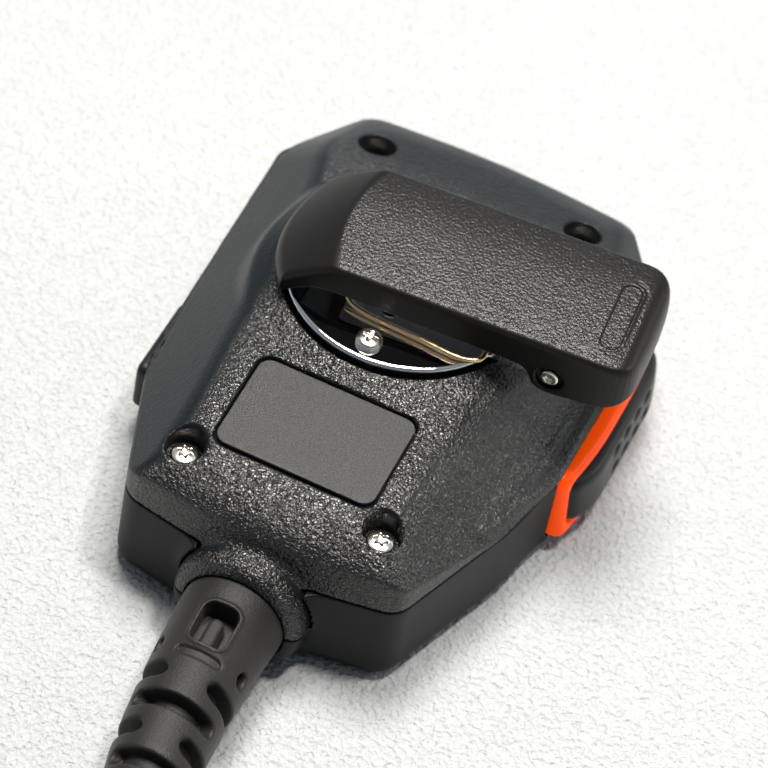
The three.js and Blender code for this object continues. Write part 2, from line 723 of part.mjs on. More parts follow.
function swivelHub() {
  const low = wellFloorZ - 2.6;
  const middle = wellFloorZ + gap;
  const high = discTopZ - discThick - 0.02;
  const hub = turnedZ(0, 0, [[0, low], [hubR, low], [hubR, middle], [16.6, middle], [16.6, high], [0, high]]);
  const pilots = baseScrewPlaces.map(([x, y]) => roundZ(x, y, 1 + fit, 20, 40, 12));
  const rivet = roundZ(...rivetPlace, 0.8 + fit, 20, 40, 10);
  return cut(hub, roundZ(0, 0, 1.5 + fit, low - 1, low + 3.2, 14), rivet, ...pilots);
}

// Plated steel plate: a round disc with a tongue that carries two ears for the hinge pin.
function basePlate() {
  const low = discTopZ - discThick;
  const disc = turnedZ(0, 0, [
    [0, low], [discR - 0.3, low], [discR, low + 0.3], [discR, discTopZ - 0.45],
    [discR - 0.35, discTopZ], [0, discTopZ],
  ], 48);
  const corners = rectangle((tongue.from + tongue.to) / 2, 0, tongue.to - tongue.from, tongue.width, 1);
  const arm = alongZ(roundedShape(corners), low, discTopZ);
  const [earFrom, earTo] = [15.6, 28.6];
  const earShape = roundedShape([
    [earFrom, low, 0], [earTo, low, 0], [earTo, 34, 2.2], [22, 34.2, 2.2], [17, discTopZ + 1.6, 1],
  ]);
  const ears = [[-8.3, -7.4], [7.4, 8.3]].map(([from, to]) => alongY(earShape, from, to));
  const fill = [[-8.3, -7], [7, 8.3]].map(([from, to]) => box([earFrom, from, low], [earTo, to, discTopZ]));
  const holes = baseScrewPlaces.map(([x, y]) => roundZ(x, y, 1.15, 20, 40, 12));
  const pinHole = roundY(pinX, pinZ, pinR + 0.05, -12, 12, 16);
  const rivetHole = roundZ(...rivetPlace, 0.8 + fit, 20, 40, 10);
  return cut(unite(disc, arm, ...ears, ...fill), ...holes, pinHole, rivetHole);
}

function baseScrew([x, y]) {
  const seat = discTopZ + 0.02;
  const high = seat + 1.2;
  const head = turnedZ(x, y, [[0, seat], [1.95, seat], [1.9, seat + 0.7], [1.2, high], [0, high]]);
  const bars = [0, 90].map((angle) => box([-0.95, -0.2, 0], [0.95, 0.2, 2]).rotate([0, 0, angle]));
  const cross = unite(...bars).translate([x, y, seat + 0.5]);
  return cut(unite(head, roundZ(x, y, 1, wellFloorZ + 0.5, seat + 0.2, 12)), cross);
}

function baseRivet() {
  const [x, y] = rivetPlace;
  const seat = discTopZ + 0.02;
  const head = turnedZ(x, y, [[0, seat], [1.1, seat], [0.9, seat + 0.4], [0, seat + 0.6]], 16);
  return unite(head, roundZ(x, y, 0.8, wellFloorZ + 0.5, seat + 0.1, 10));
}

function hubWasher() {
  const low = wellFloorZ - 2.58;
  const high = wellFloorZ - 2.15;
  return turnedZ(0, 0, [[hubR + 0.5, low], [11.4, low], [11.4, high], [hubR + 0.5, high]]);
}

function hubRetainer() {
  const high = wellFloorZ - 2.62;
  return turnedZ(0, 0, [[1.7, high - 1], [11.6, high - 1], [11.6, high], [1.7, high]]);
}

function hubScrew() {
  const seat = wellFloorZ - 3.64;
  const head = roundZ(0, 0, 2.8, seat - 1.6, seat);
  const socket = roundZ(0, 0, 1.2, seat - 3, seat - 0.7, 6);
  return cut(unite(head, roundZ(0, 0, 1.5, seat - 0.2, seat + 4, 12)), socket);
}

function clipPin() {
  const pin = roundY(pinX, pinZ, pinR, -leverHalf + 0.5, leverHalf - 0.2, 16);
  const head = roundY(pinX, pinZ, 1.35, -leverHalf + 0.1, -leverHalf + 0.8, 16);
  const recess = roundY(pinX, pinZ, 0.6, -leverHalf - 1, -leverHalf + 0.45, 6);
  return cut(unite(pin, head), recess);
}

// The torsion spring: a coil around the pin, a short leg under the lever and a long leg on the disc.
function clipSpring() {
  const coilR = pinR + springWireR + 0.2;
  const eighths = 26; // three turns and a quarter
  const pitch = 0.22;
  const coilFromY = -4;
  const low = discTopZ + springWireR + 0.06;
  const points = [
    [-6.4, -8.6, low + 0.74], [-5.2, -9.3, low + 0.24], [-3, -9.9, low], [5, -10.8, low], [12.4, -11.6, low],
    [14.6, -10.6, low + 0.04], [15, -8.4, low + 0.14], [15.4, -6.2, low + 0.14], [17.4, -4.6, low + 0.04],
    [21.4, -4.2, low + 0.04],
  ];
  for (let i = 0; i <= eighths; i += 1) {
    const angle = (i * Math.PI) / 4 - Math.PI / 2;
    points.push([pinX + coilR * Math.cos(angle), coilFromY + i * pitch, pinZ + coilR * Math.sin(angle)]);
  }
  const lastY = coilFromY + eighths * pitch + 0.2;
  points.push([pinX - 1.2, lastY, pinZ + 2.4], [pinX - 6, lastY, pinZ + 3.1]);
  return tube(points, springWireR, 84, 3);
}

// Plan of the lever: an arc around the disc at the nose, and a rounded tab.
function leverPlan(distance) {
  const half = leverHalf - distance;
  const radius = noseR - distance;
  const angle = Math.asin(half / radius);
  const end = tabX - distance;
  const corner = 5.2 - distance / 2;
  const shape = new THREE.Shape();
  shape.absarc(0, 0, radius, Math.PI - angle, Math.PI + angle, false);
  shape.lineTo(end - corner, -half);
  shape.quadraticCurveTo(end - 0.4, -half, end - 0.3, -half + corner);
  shape.quadraticCurveTo(end + 0.3, 0, end - 0.3, half - corner);
  shape.quadraticCurveTo(end - 0.4, half, end - corner, half);
  shape.closePath();
  return shape;
}

// Side view of the lever's cover, as x and z.
function leverProfile() {
  const shape = new THREE.Shape();
  shape.moveTo(-noseR - 0.1, discTopZ + 0.4);
  shape.lineTo(-14.8, discTopZ + 0.4);
  shape.quadraticCurveTo(-12, leverLowZ + 0.2, -8.6, leverLowZ + 0.6);
  shape.lineTo(19.2, leverLowZ);
  shape.quadraticCurveTo(21.4, leverLowZ - 0.1, 22, leverLowZ - 2);
  shape.quadraticCurveTo(22.4, tabLowZ + 0.1, 25, tabLowZ);
  shape.lineTo(31.5, tabLowZ + 0.6);
  shape.quadraticCurveTo(34.6, tabLowZ + 1, tabX, tabLowZ + 2.6);
  shape.lineTo(tabX + 0.2, leverTopZ - 3.4);
  shape.quadraticCurveTo(tabX - 0.4, leverTopZ - 0.4, tabX - 4.6, leverTopZ);
  shape.lineTo(-7.6, leverTopZ);
  shape.quadraticCurveTo(-12.6, leverTopZ - 0.5, -15.8, leverTopZ - 3.4);
  shape.quadraticCurveTo(-18.4, leverTopZ - 5.8, -noseR - 0.1, discTopZ + 1.4);
  return shape;
}

function leverInside() {
  const shape = new THREE.Shape();
  const top = leverTopZ - leverWall - 0.1;
  shape.moveTo(-13, 20);
  shape.lineTo(tabX - 1.8, 20);
  shape.lineTo(tabX - 1.8, top - 2.4);
  shape.quadraticCurveTo(tabX - 2.2, top, tabX - 5.4, top);
  shape.lineTo(-8, top);
  shape.quadraticCurveTo(-11.4, top - 0.6, -13, top - 2.6);
  return shape;
}

// The side edges of the cover are rounded off by a profile across its width.
function leverAcross() {
  const shape = new THREE.Shape();
  shape.moveTo(-leverHalf, 20);
  shape.lineTo(leverHalf, 20);
  shape.lineTo(leverHalf, leverTopZ - 1.6);
  shape.quadraticCurveTo(leverHalf, leverTopZ, leverHalf - 1.7, leverTopZ);
  shape.lineTo(-leverHalf + 1.7, leverTopZ);
  shape.quadraticCurveTo(-leverHalf, leverTopZ, -leverHalf, leverTopZ - 1.6);
  return shape;
}

function leverCover() {
  const outer = alongZ(leverPlan(0), 20, 50, { curveSegments: 5 })
    .intersect(alongY(leverProfile(), -20, 20))
    .intersect(alongX(leverAcross(), -30, 50));
  const hollow = alongZ(leverPlan(leverWall), 20, 50).intersect(alongY(leverInside(), -20, 20));
  const pinHole = roundY(pinX, pinZ, pinR + 0.15, -20, 20, 16);
  const headRecess = roundY(pinX, pinZ, 2, -20, -leverHalf + 0.9, 20);
  const groove = cut(
    alongZ(roundedShape(rectangle(31.4, -1, 3.4, 13.2, 1.6)), leverTopZ - 0.35, 50),
    alongZ(roundedShape(rectangle(31.4, -1, 2.6, 12.4, 1.2)), leverTopZ - 1, 51),
  );
  return cut(outer, hollow, pinHole, headRecess, groove);
}

// Steel channel inside the cover, with two cheeks around the pin.
function leverLiner() {
  const high = leverTopZ - leverWall - 0.5;
  const plate = alongZ(roundedShape(rectangle(12, 0, 39, 13.4, 1)), high - 0.8, high);
  const sideShape = roundedShape([
    [31.5, high - 0.4, 0], [31.5, high - 3, 1], [28.4, pinZ - 1.4, 1.4],
    [23, pinZ - 1.6, 1], [19, pinZ - 0.8, 1], [17, high - 0.4, 0],
  ]);
  const sides = [[-6.7, -5.9], [5.9, 6.7]].map(([from, to]) => alongY(sideShape, from, to));
  const pinHole = roundY(pinX, pinZ, pinR + 0.12, -20, 20, 16);
  return cut(unite(plate, ...sides), pinHole);
}

// ---------------------------------------------------------------- assembly

const microphone = new THREE.Group();
const clip = new THREE.Group();
clip.position.set(swivelAt[0], swivelAt[1], 0);
clip.rotation.z = clipTurn;

function add(group, name, body, material) {
  group.add(asMesh(name, body, material));
}

add(microphone, 'front_case', frontCase(), looks.frontPlastic);
add(microphone, 'rear_case', rearCase(), looks.rearPlastic);
add(microphone, 'case_gasket', caseGasket(), looks.rubber);
screwPlaces.forEach((place, i) => {
  add(microphone, `case_screw_${i + 1}`, caseScrew(place, screwHeadZ[i < 2 ? 0 : 1] + 0.02), looks.nickel);
});
add(microphone, 'label_plate', labelPlate(), looks.label);
add(microphone, 'key_bezel', keyBezel(), looks.orange);
add(microphone, 'talk_key', keyCap(), looks.rubber);
add(microphone, 'key_core', keyCore(), looks.innerPlastic);
add(microphone, 'key_switch', keySwitch(), looks.innerPlastic);
add(microphone, 'switch_plunger', switchPlunger(), looks.innerPlastic);
add(microphone, 'jack_cover', jackCover(), looks.rubber);
add(microphone, 'jack_socket', jackSocket(), looks.innerPlastic);
add(microphone, 'grille_cloth', grilleCloth(), looks.cloth);
add(microphone, 'speaker_gasket', speakerGasket(), looks.rubber);
add(microphone, 'speaker_frame', speakerFrame(), looks.steel);
add(microphone, 'speaker_cone', speakerCone(), looks.paper);
add(microphone, 'speaker_magnet', speakerMagnet(), looks.steel);
add(microphone, 'mic_boot', micBoot(), looks.rubber);
add(microphone, 'mic_capsule', micCapsule(), looks.nickel);
add(microphone, 'circuit_board', circuitBoard(), looks.board);
boardScrewY.forEach((y, i) => add(microphone, `board_screw_${i + 1}`, boardScrew(y), looks.steel));
add(microphone, 'cord_boot', cordBoot(), looks.bootRubber);
add(microphone, 'cord_jacket', cordJacket(), looks.rubber);
add(microphone, 'cord_anchor', cordAnchor(), looks.steel);
add(microphone, 'wire_red', wire(-0.85, 0.85, -5), looks.red);
add(microphone, 'wire_white', wire(0.85, 0.85, 5), looks.white);
add(microphone, 'wire_green', wire(-0.85, -0.85, -2), looks.green);
add(microphone, 'wire_black', wire(0.85, -0.85, 2), looks.black);

add(clip, 'swivel_hub', swivelHub(), looks.innerPlastic);
add(clip, 'hub_washer', hubWasher(), looks.steel);
add(clip, 'hub_retainer', hubRetainer(), looks.steel);
add(clip, 'hub_screw', hubScrew(), looks.steel);
add(clip, 'clip_base', basePlate(), looks.chrome);
baseScrewPlaces.forEach((place, i) => add(clip, `base_screw_${i + 1}`, baseScrew(place), looks.nickel));
add(clip, 'base_rivet', baseRivet(), looks.nickel);
add(clip, 'clip_pin', clipPin(), looks.nickel);
add(clip, 'clip_spring', clipSpring(), looks.springSteel);
add(clip, 'clip_lever', leverCover(), looks.leverPlastic);
add(clip, 'lever_liner', leverLiner(), looks.steel);
microphone.add(clip);

export default microphone;
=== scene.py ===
"""Hand microphone: its looks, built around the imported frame.

Sizes here are millimetres in the frame's own axes: +Z out of the back, +Y to the top, -Y along the cord and
+X to the talk key. Moulded pieces are distance fields (negative inside) that are sampled on a grid and meshed
with a surface net; wires are swept. Everything becomes metres when its mesh is made.
"""

import json
import math

import bpy
import numpy as np
from mathutils import Matrix, Vector


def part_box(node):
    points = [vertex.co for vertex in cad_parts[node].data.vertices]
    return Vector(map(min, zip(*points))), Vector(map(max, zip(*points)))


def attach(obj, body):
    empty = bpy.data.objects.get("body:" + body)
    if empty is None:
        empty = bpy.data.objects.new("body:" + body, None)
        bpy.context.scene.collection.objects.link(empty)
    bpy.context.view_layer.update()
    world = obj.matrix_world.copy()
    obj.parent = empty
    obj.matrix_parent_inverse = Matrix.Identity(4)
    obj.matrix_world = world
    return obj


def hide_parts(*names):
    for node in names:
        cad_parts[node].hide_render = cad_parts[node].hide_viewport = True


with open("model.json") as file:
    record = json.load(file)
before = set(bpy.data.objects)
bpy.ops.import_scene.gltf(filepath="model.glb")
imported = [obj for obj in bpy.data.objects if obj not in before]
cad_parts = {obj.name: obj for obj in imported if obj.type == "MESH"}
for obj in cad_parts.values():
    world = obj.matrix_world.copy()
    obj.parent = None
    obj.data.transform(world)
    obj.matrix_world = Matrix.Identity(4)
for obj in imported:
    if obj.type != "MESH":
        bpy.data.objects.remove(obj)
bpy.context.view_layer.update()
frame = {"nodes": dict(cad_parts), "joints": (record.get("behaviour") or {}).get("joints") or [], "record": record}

MM = 0.001
COARSE = 1.0
JOINTS = {joint["name"]: joint for joint in frame["joints"]}


def low_high(node):
    """Lowest and highest corner of a CAD node, in millimetres."""
    low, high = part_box(node)
    return np.array(low) / MM, np.array(high) / MM


# ---- distance fields


def lattice(low, high, step):
    """Open coordinate arrays of a grid, and its low corner and step."""
    step *= COARSE
    counts = [int(math.ceil((b - a) / step)) + 1 for a, b in zip(low, high)]
    axes = [(low[i] + step * np.arange(counts[i])).astype(np.float32) for i in range(3)]
    return axes[0][:, None, None], axes[1][None, :, None], axes[2][None, None, :], (np.array(low), step)


def lattice_of(node, margin, step):
    """A grid around a CAD node."""
    low, high = low_high(node)
    return lattice(low - margin, high + margin, step)



def smooth_max(a, b, k):
    """The larger of two fields, with the edge between them rounded over about k."""
    h = np.maximum(k - np.abs(a - b), 0) / k
    return np.maximum(a, b) + h * h * (k / 4)


def smooth_min(a, b, k):
    return -smooth_max(-a, -b, k)


def rounded_box(x, y, half_x, half_y, radius):
    """Flat field of a rectangle with round corners."""
    qx = np.abs(x) - half_x + radius
    qy = np.abs(y) - half_y + radius
    outside = np.sqrt(np.maximum(qx, 0) ** 2 + np.maximum(qy, 0) ** 2)
    return outside + np.minimum(np.maximum(qx, qy), 0) - radius


def outline(x, y, points):
    """Flat field of a closed outline."""
    nearest = np.full(np.broadcast(x, y).shape, 1e9, np.float32)
    inside = np.zeros(nearest.shape, bool)
    for (ax, ay), (bx, by) in zip(points, points[1:] + points[:1]):
        ex, ey = bx - ax, by - ay
        if ex * ex + ey * ey < 1e-12:
            continue
        t = np.clip(((x - ax) * ex + (y - ay) * ey) / (ex * ex + ey * ey), 0, 1)
        nearest = np.minimum(nearest, (x - ax - ex * t) ** 2 + (y - ay - ey * t) ** 2)
        if ey != 0:
            inside ^= ((ay > y) != (by > y)) & (x < ex * (y - ay) / ey + ax)
    return np.where(inside, -1, 1) * np.sqrt(nearest)


def bend(start, control, end, steps=8):
    """Points of a quadratic curve, without its start."""
    ts = [(i + 1) / steps for i in range(steps)]
    return [
        tuple((1 - t) ** 2 * a + 2 * t * (1 - t) * c + t * t * b for a, c, b in zip(start, control, end))
        for t in ts
    ]


def rounded_outline(corners, steps=8):
    """Points of a closed outline through corners (x, y, radius)."""
    points = []
    for i, (x, y, radius) in enumerate(corners):
        here = np.array([x, y], float)
        back = np.array(corners[i - 1][:2]) - here
        on = np.array(corners[(i + 1) % len(corners)][:2]) - here
        back /= np.linalg.norm(back)
        on /= np.linalg.norm(on)
        turn = math.pi - math.acos(np.clip(back @ on, -1, 1))
        reach = radius * math.tan(turn / 2)
        start, end = here + back * reach, here + on * reach
        points.append(tuple(start))
        if reach > 0:
            points += bend(start, here, end, steps)
    return points


def away(x, y, centre=(0, 0)):
    """Distance from a line along the third axis."""
    return np.sqrt((x - centre[0]) ** 2 + (y - centre[1]) ** 2)


def cut(solid, tool, soften=0):
    """A field with a tool's field taken away; soften rounds the new edges over about that much."""
    return smooth_max(solid, -tool, soften) if soften else np.maximum(solid, -tool)



# ---- surface net


def sample(field, points):
    """Field values at points given in grid steps."""
    cell = np.clip(np.floor(points).astype(np.int64), 0, np.array(field.shape) - 2)
    f = np.clip(points - cell, 0, 1).astype(np.float32)
    i, j, k = cell.T
    fx, fy, fz = f.T
    total = 0
    for a in (0, 1):
        wx = fx if a else 1 - fx
        for b in (0, 1):
            wy = fy if b else 1 - fy
            for c in (0, 1):
                wz = fz if c else 1 - fz
                total = total + field[i + a, j + b, k + c] * wx * wy * wz
    return total


def gradient(field, points, reach=0.5):
    parts = []
    for axis in range(3):
        offset = np.zeros(3)
        offset[axis] = reach
        parts.append((sample(field, points + offset) - sample(field, points - offset)) / (2 * reach))
    return np.stack(parts, 1)


def surface_net(field, place):
    """Vertices, quads and vertex normals of a field's zero level."""
    low, step = place
    inside = field < 0
    count = np.zeros([n - 1 for n in field.shape], np.int8)
    corners = [(a, b, c) for a in (0, 1) for b in (0, 1) for c in (0, 1)]
    size = field.shape
    for a, b, c in corners:
        count += inside[a : size[0] - 1 + a, b : size[1] - 1 + b, c : size[2] - 1 + c]
    active = (count > 0) & (count < 8)
    cells = np.argwhere(active)
    index = np.full(active.shape, -1, np.int64)
    index[active] = np.arange(len(cells))

    total = np.zeros((len(cells), 3))
    crossings = np.zeros(len(cells))
    values = {o: field[cells[:, 0] + o[0], cells[:, 1] + o[1], cells[:, 2] + o[2]] for o in corners}
    for start in corners:
        for axis in range(3):
            if start[axis]:
                continue
            end = list(start)
            end[axis] = 1
            a, b = values[start], values[tuple(end)]
            crosses = (a < 0) != (b < 0)
            t = np.where(crosses, a / np.where(crosses, a - b, 1), 0)
            point = np.array(start, float)[None, :] + t[:, None] * np.eye(3)[axis][None, :]
            total += np.where(crosses[:, None], point, 0)
            crossings += crosses
    points = cells + total / crossings[:, None]

    quads = []
    for axis in range(3):
        others = [(axis + 1) % 3, (axis + 2) % 3]
        first = [slice(0, n) for n in size]
        second = [slice(0, n) for n in size]
        first[axis], second[axis] = slice(0, -1), slice(1, None)
        before, after = inside[tuple(first)], inside[tuple(second)]
        edges = np.argwhere(before != after)
        keep = np.ones(len(edges), bool)
        for other in others:
            keep &= (edges[:, other] > 0) & (edges[:, other] < size[other] - 1)
        edges = edges[keep]
        rising = before[edges[:, 0], edges[:, 1], edges[:, 2]]
        ring = []
        for p, q in ((1, 1), (0, 1), (0, 0), (1, 0)):
            cell = edges.copy()
            cell[:, others[0]] -= p
            cell[:, others[1]] -= q
            ring.append(index[cell[:, 0], cell[:, 1], cell[:, 2]])
        ring = np.stack(ring, 1)
        quads.append(np.where(rising[:, None], ring, ring[:, ::-1]))
    quads = np.concatenate(quads)

    for _ in range(2):
        slope = gradient(field, points)
        length = np.maximum((slope**2).sum(1), 1e-6)
        move = -(sample(field, points) / length)[:, None] * slope
        points = points + np.clip(move, -0.4, 0.4)
    normals = gradient(field, points)
    normals /= np.maximum(np.linalg.norm(normals, axis=1), 1e-9)[:, None]
    return low + points * step, quads, normals


# ---- making pieces


def make_mesh(name, points, faces, normals=None, attributes=None):
    """A smooth mesh from millimetre points; faces is an array of quads or a list of index lists."""
    mesh = bpy.data.meshes.new(name)
    if isinstance(faces, np.ndarray):
        mesh.vertices.add(len(points))
        mesh.vertices.foreach_set("co", (np.asarray(points) * MM).astype(np.float32).ravel())
        mesh.loops.add(faces.size)
        mesh.loops.foreach_set("vertex_index", faces.astype(np.int32).ravel())
        mesh.polygons.add(len(faces))
        mesh.polygons.foreach_set("loop_start", np.arange(0, faces.size, faces.shape[1], dtype=np.int32))
        mesh.update(calc_edges=True)
    else:
        mesh.from_pydata([tuple(p) for p in np.asarray(points) * MM], [], faces)
    mesh.polygons.foreach_set("use_smooth", np.ones(len(mesh.polygons), bool))
    for key, values in (attributes or {}).items():
        layer = mesh.attributes.new(key, "FLOAT", "POINT")
        layer.data.foreach_set("value", np.asarray(values, np.float32))
    if normals is not None:
        mesh.normals_split_custom_set_from_vertices(normals.astype(np.float32))
    mesh.update()
    return mesh


def add_object(name, data):
    made = bpy.data.objects.new(name, data)
    bpy.context.scene.collection.objects.link(made)
    return made


def add_piece(name, mesh, body, slot, nodes=(), look=None):
    """A piece that rides on a body and replaces the CAD nodes that it stands for."""
    piece = add_object(name, mesh)
    mesh.materials.append(look or LOOKS[slot])
    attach(piece, body)
    if nodes:
        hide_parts(*nodes)



def net_piece(name, field, place, body, slot, node, masks=None, turn=np.eye(3), shift=(0, 0, 0)):
    """A piece meshed from a field, turned and shifted. masks(points, normals) gives its attributes."""
    points, quads, normals = surface_net(np.ascontiguousarray(field, np.float32), place)
    attributes = masks(points, normals) if masks else None
    mesh = make_mesh(name, points @ turn.T + np.array(shift), quads, normals @ turn.T, attributes)
    add_piece(name, mesh, body, slot, [node])



def ramp01(value, start, end):
    """0 before start, 1 after end, smooth in between."""
    t = np.clip((value - start) / (end - start), 0, 1)
    return t * t * (3 - 2 * t)


def between(t, start, end, a, b):
    return (end - t) / (end - start) * a + (t - start) / (end - start) * b


def curve_through(points, steps):
    """A smooth curve through points (centripetal Catmull-Rom)."""
    points = [np.array(p, float) for p in points]
    points = [2 * points[0] - points[1], *points, 2 * points[-1] - points[-2]]
    made = []
    for four in zip(points, points[1:], points[2:], points[3:]):
        knots = [0.0]
        for a, b in zip(four, four[1:]):
            knots.append(knots[-1] + max(np.linalg.norm(b - a), 1e-6) ** 0.5)
        for i in range(steps):
            t = knots[1] + (knots[2] - knots[1]) * i / steps
            level = [between(t, knots[j], knots[j + 1], four[j], four[j + 1]) for j in range(3)]
            level = [between(t, knots[j], knots[j + 2], level[j], level[j + 1]) for j in range(2)]
            made.append(between(t, knots[1], knots[2], *level))
    made.append(points[-2])
    return np.array(made)


def swept(path, radii, sides=16):
    """Points and faces of a round tube along a path; radii is one radius for each path point."""
    path = np.asarray(path, float)
    tangents = np.gradient(path, axis=0)
    tangents /= np.linalg.norm(tangents, axis=1)[:, None]
    side = np.cross(tangents[0], [0.3, 0.2, 1])
    points = []
    for place, tangent, radius in zip(path, tangents, radii):
        side = side - tangent * (side @ tangent)
        side /= np.linalg.norm(side)
        up = np.cross(tangent, side)
        for i in range(sides):
            angle = 2 * math.pi * i / sides
            points.append(place + radius * (math.cos(angle) * side + math.sin(angle) * up))
    faces = []
    for ring in range(len(path) - 1):
        for i in range(sides):
            a, b = ring * sides + i, ring * sides + (i + 1) % sides
            faces.append([a, b, b + sides, a + sides])
    last = (len(path) - 1) * sides
    faces.append(list(range(sides))[::-1])
    faces.append([last + i for i in range(sides)])
    return np.array(points), faces


# ---- materials


class Look:
    """A procedural material. Its textures are laid out in millimetres in the piece's own space."""

    def __init__(self, name, metallic=0.0):
        self.material = bpy.data.materials.new(name)
        self.material.use_nodes = True
        self.tree = self.material.node_tree
        self.tree.nodes.clear()
        self.shader = self.add("ShaderNodeBsdfPrincipled")
        output = self.add("ShaderNodeOutputMaterial")
        self.tree.links.new(self.shader.outputs[0], output.inputs["Surface"])
        self.set("Metallic", metallic)
        self.place = self.add("ShaderNodeTexCoord").outputs["Object"]
        self.place = self.stretched((1 / MM,) * 3)
        self.normal = None

    def add(self, kind, inputs=None, **settings):
        node = self.tree.nodes.new(kind)
        for key, value in settings.items():
            setattr(node, key, value)
        for key, value in (inputs or {}).items():
            self.feed(node.inputs[key], value)
        return node

    def feed(self, socket, value):
        if isinstance(value, bpy.types.NodeSocket):
            self.tree.links.new(value, socket)
        else:
            socket.default_value = value

    def set(self, key, value):
        self.feed(self.shader.inputs[key], value)

    def vector(self, operation, a, b):
        return self.add("ShaderNodeVectorMath", {0: a, 1: b}, operation=operation).outputs[0]

    def stretched(self, scale):
        return self.vector("MULTIPLY", self.place, scale)

    def noise(self, scale, detail=3.0, roughness=0.5, distortion=0.0, place=None):
        inputs = {"Vector": place or self.place, "Scale": scale, "Detail": detail}
        inputs.update({"Roughness": roughness, "Distortion": distortion})
        return self.add("ShaderNodeTexNoise", inputs).outputs[0]

    def cells(self, scale, feature="F1", smooth=0.6, wobble=0.0):
        """Voronoi distance, in cell widths; wobble moves the cells' edges, in millimetres."""
        vector = self.place
        if wobble:
            noise = self.add("ShaderNodeTexNoise", {"Vector": vector, "Scale": scale * 1.3, "Detail": 2.0})
            centred = self.vector("SUBTRACT", noise.outputs[1], (0.5,) * 3)
            vector = self.vector("ADD", vector, self.vector("MULTIPLY", centred, (wobble,) * 3))
        node = self.add("ShaderNodeTexVoronoi", feature=feature)
        self.feed(node.inputs["Vector"], vector)
        self.feed(node.inputs["Scale"], scale)
        if feature == "SMOOTH_F1":
            self.feed(node.inputs["Smoothness"], smooth)
        return node.outputs["Distance"]

    def math(self, operation, a, b):
        return self.add("ShaderNodeMath", {0: a, 1: b}, operation=operation).outputs[0]

    def weighted(self, *terms):
        """The sum of values times their weights."""
        products = [self.math("MULTIPLY", value, weight) for value, weight in terms]
        total = products[0]
        for product in products[1:]:
            total = self.math("ADD", total, product)
        return total

    def span(self, value, a, b, c, d):
        """Maps a..b to c..d, clamped."""
        inputs = {"Value": value, "From Min": a, "From Max": b, "To Min": c, "To Max": d}
        return self.add("ShaderNodeMapRange", inputs, clamp=True).outputs[0]

    def mix(self, factor, a, b):
        """Mixes two colours or colour sockets."""
        node = self.add("ShaderNodeMix", data_type="RGBA")
        self.feed(node.inputs[0], factor)
        for socket, value in ((node.inputs[6], a), (node.inputs[7], b)):
            self.feed(socket, value if isinstance(value, bpy.types.NodeSocket) else (*value, 1))
        return node.outputs[2]

    def blend(self, factor, a, b):
        """Mixes two values or value sockets."""
        return self.add("ShaderNodeMix", {0: factor, 2: a, 3: b}, data_type="FLOAT").outputs[0]

    def mask(self, name):
        return self.add("ShaderNodeAttribute", attribute_name=name).outputs["Fac"]

    def bump(self, height, depth):
        """Adds relief, with its depth in millimetres."""
        scaled = self.math("MULTIPLY", height, depth)
        node = self.add("ShaderNodeBump", {"Height": scaled, "Strength": 1.0, "Distance": MM})
        if self.normal:
            self.feed(node.inputs["Normal"], self.normal)
        self.normal = node.outputs[0]
        self.set("Normal", self.normal)

    def edge(self, low=0.51, high=0.58):
        """1 along convex edges."""
        geometry = self.add("ShaderNodeNewGeometry")
        return self.span(geometry.outputs["Pointiness"], low, high, 0.0, 1.0)


def shade(colour, factor):
    return tuple(c * factor for c in colour)


def dusty(look, amount, roughness_a, roughness_b, scale):
    """Slow variation with fine dust on top. It sets the roughness, and is returned to tint the colour."""
    mixed = look.blend(amount, look.noise(scale, 4.0, 0.6), look.noise(9.0, 2.0, 0.5))
    look.set("Roughness", look.blend(mixed, roughness_a, roughness_b))
    return mixed


def speckle(look, amount, colour_a, colour_b, roughness_a, roughness_b, scale=0.25):
    mixed = dusty(look, amount, roughness_a, roughness_b, scale)
    look.set("Base Color", look.mix(mixed, colour_a, colour_b))


def painted_edge_highlight(look, amount, tone, colour, *limits):
    """A tone that lightens along its convex edges: a painted highlight where the edges would catch the light."""
    look.set("Base Color", look.mix(look.math("MULTIPLY", look.edge(*limits), amount), tone, colour))


def grained_plastic(name, colour, cell, depth, rough, smooth_rough):
    """Black plastic with a leather-like grain where its grain mask is 1, and satin elsewhere, tinted with a
    painted cool reflection.
    """
    look = Look(name)
    mask = look.mask("grain")
    slow, fine = look.noise(0.12, 3.0, 0.6), look.noise(6.0, 3.0, 0.6)
    pebbles = look.cells(1 / cell, "SMOOTH_F1", 0.35, cell * 0.9)
    creases = look.cells(1.15 / cell, "DISTANCE_TO_EDGE", 0.0, cell * 0.8)
    wrinkle = look.noise(0.75 / cell, 2.0, 0.5, 0.5)
    dome = look.span(pebbles, 0.0, 0.75, 1.0, 0.0)
    valley = look.span(creases, 0.0, 0.16, 0.0, 1.0)
    relief = look.weighted((dome, 0.65), (valley, 0.25), (wrinkle, 0.8))
    look.bump(look.math("MULTIPLY", relief, mask), depth)
    look.bump(look.noise(5.5, 2.0, 0.5), 0.006)
    tone = look.mix(look.blend(0.4, slow, fine), shade(colour, 0.75), shade(colour, 1.25))
    # Where there is no grain, the colour is the painted cool reflection tone of the satin.
    tone = look.mix(mask, look.mix(slow, *SATIN_PAINTED_COOL_TONES), tone)
    # Painted highlight along the convex edges.
    painted_edge_highlight(look, 0.35, tone, shade(colour, 2.2))
    grain_rough = look.blend(look.span(relief, 0.4, 1.1, 0.0, 1.0), rough + 0.12, rough - 0.06)
    satin_rough = look.blend(fine, smooth_rough - 0.04, smooth_rough + 0.06)
    look.set("Roughness", look.blend(mask, satin_rough, grain_rough))
    look.set("Specular IOR Level", look.blend(mask, 0.17, 0.66))
    return look.material


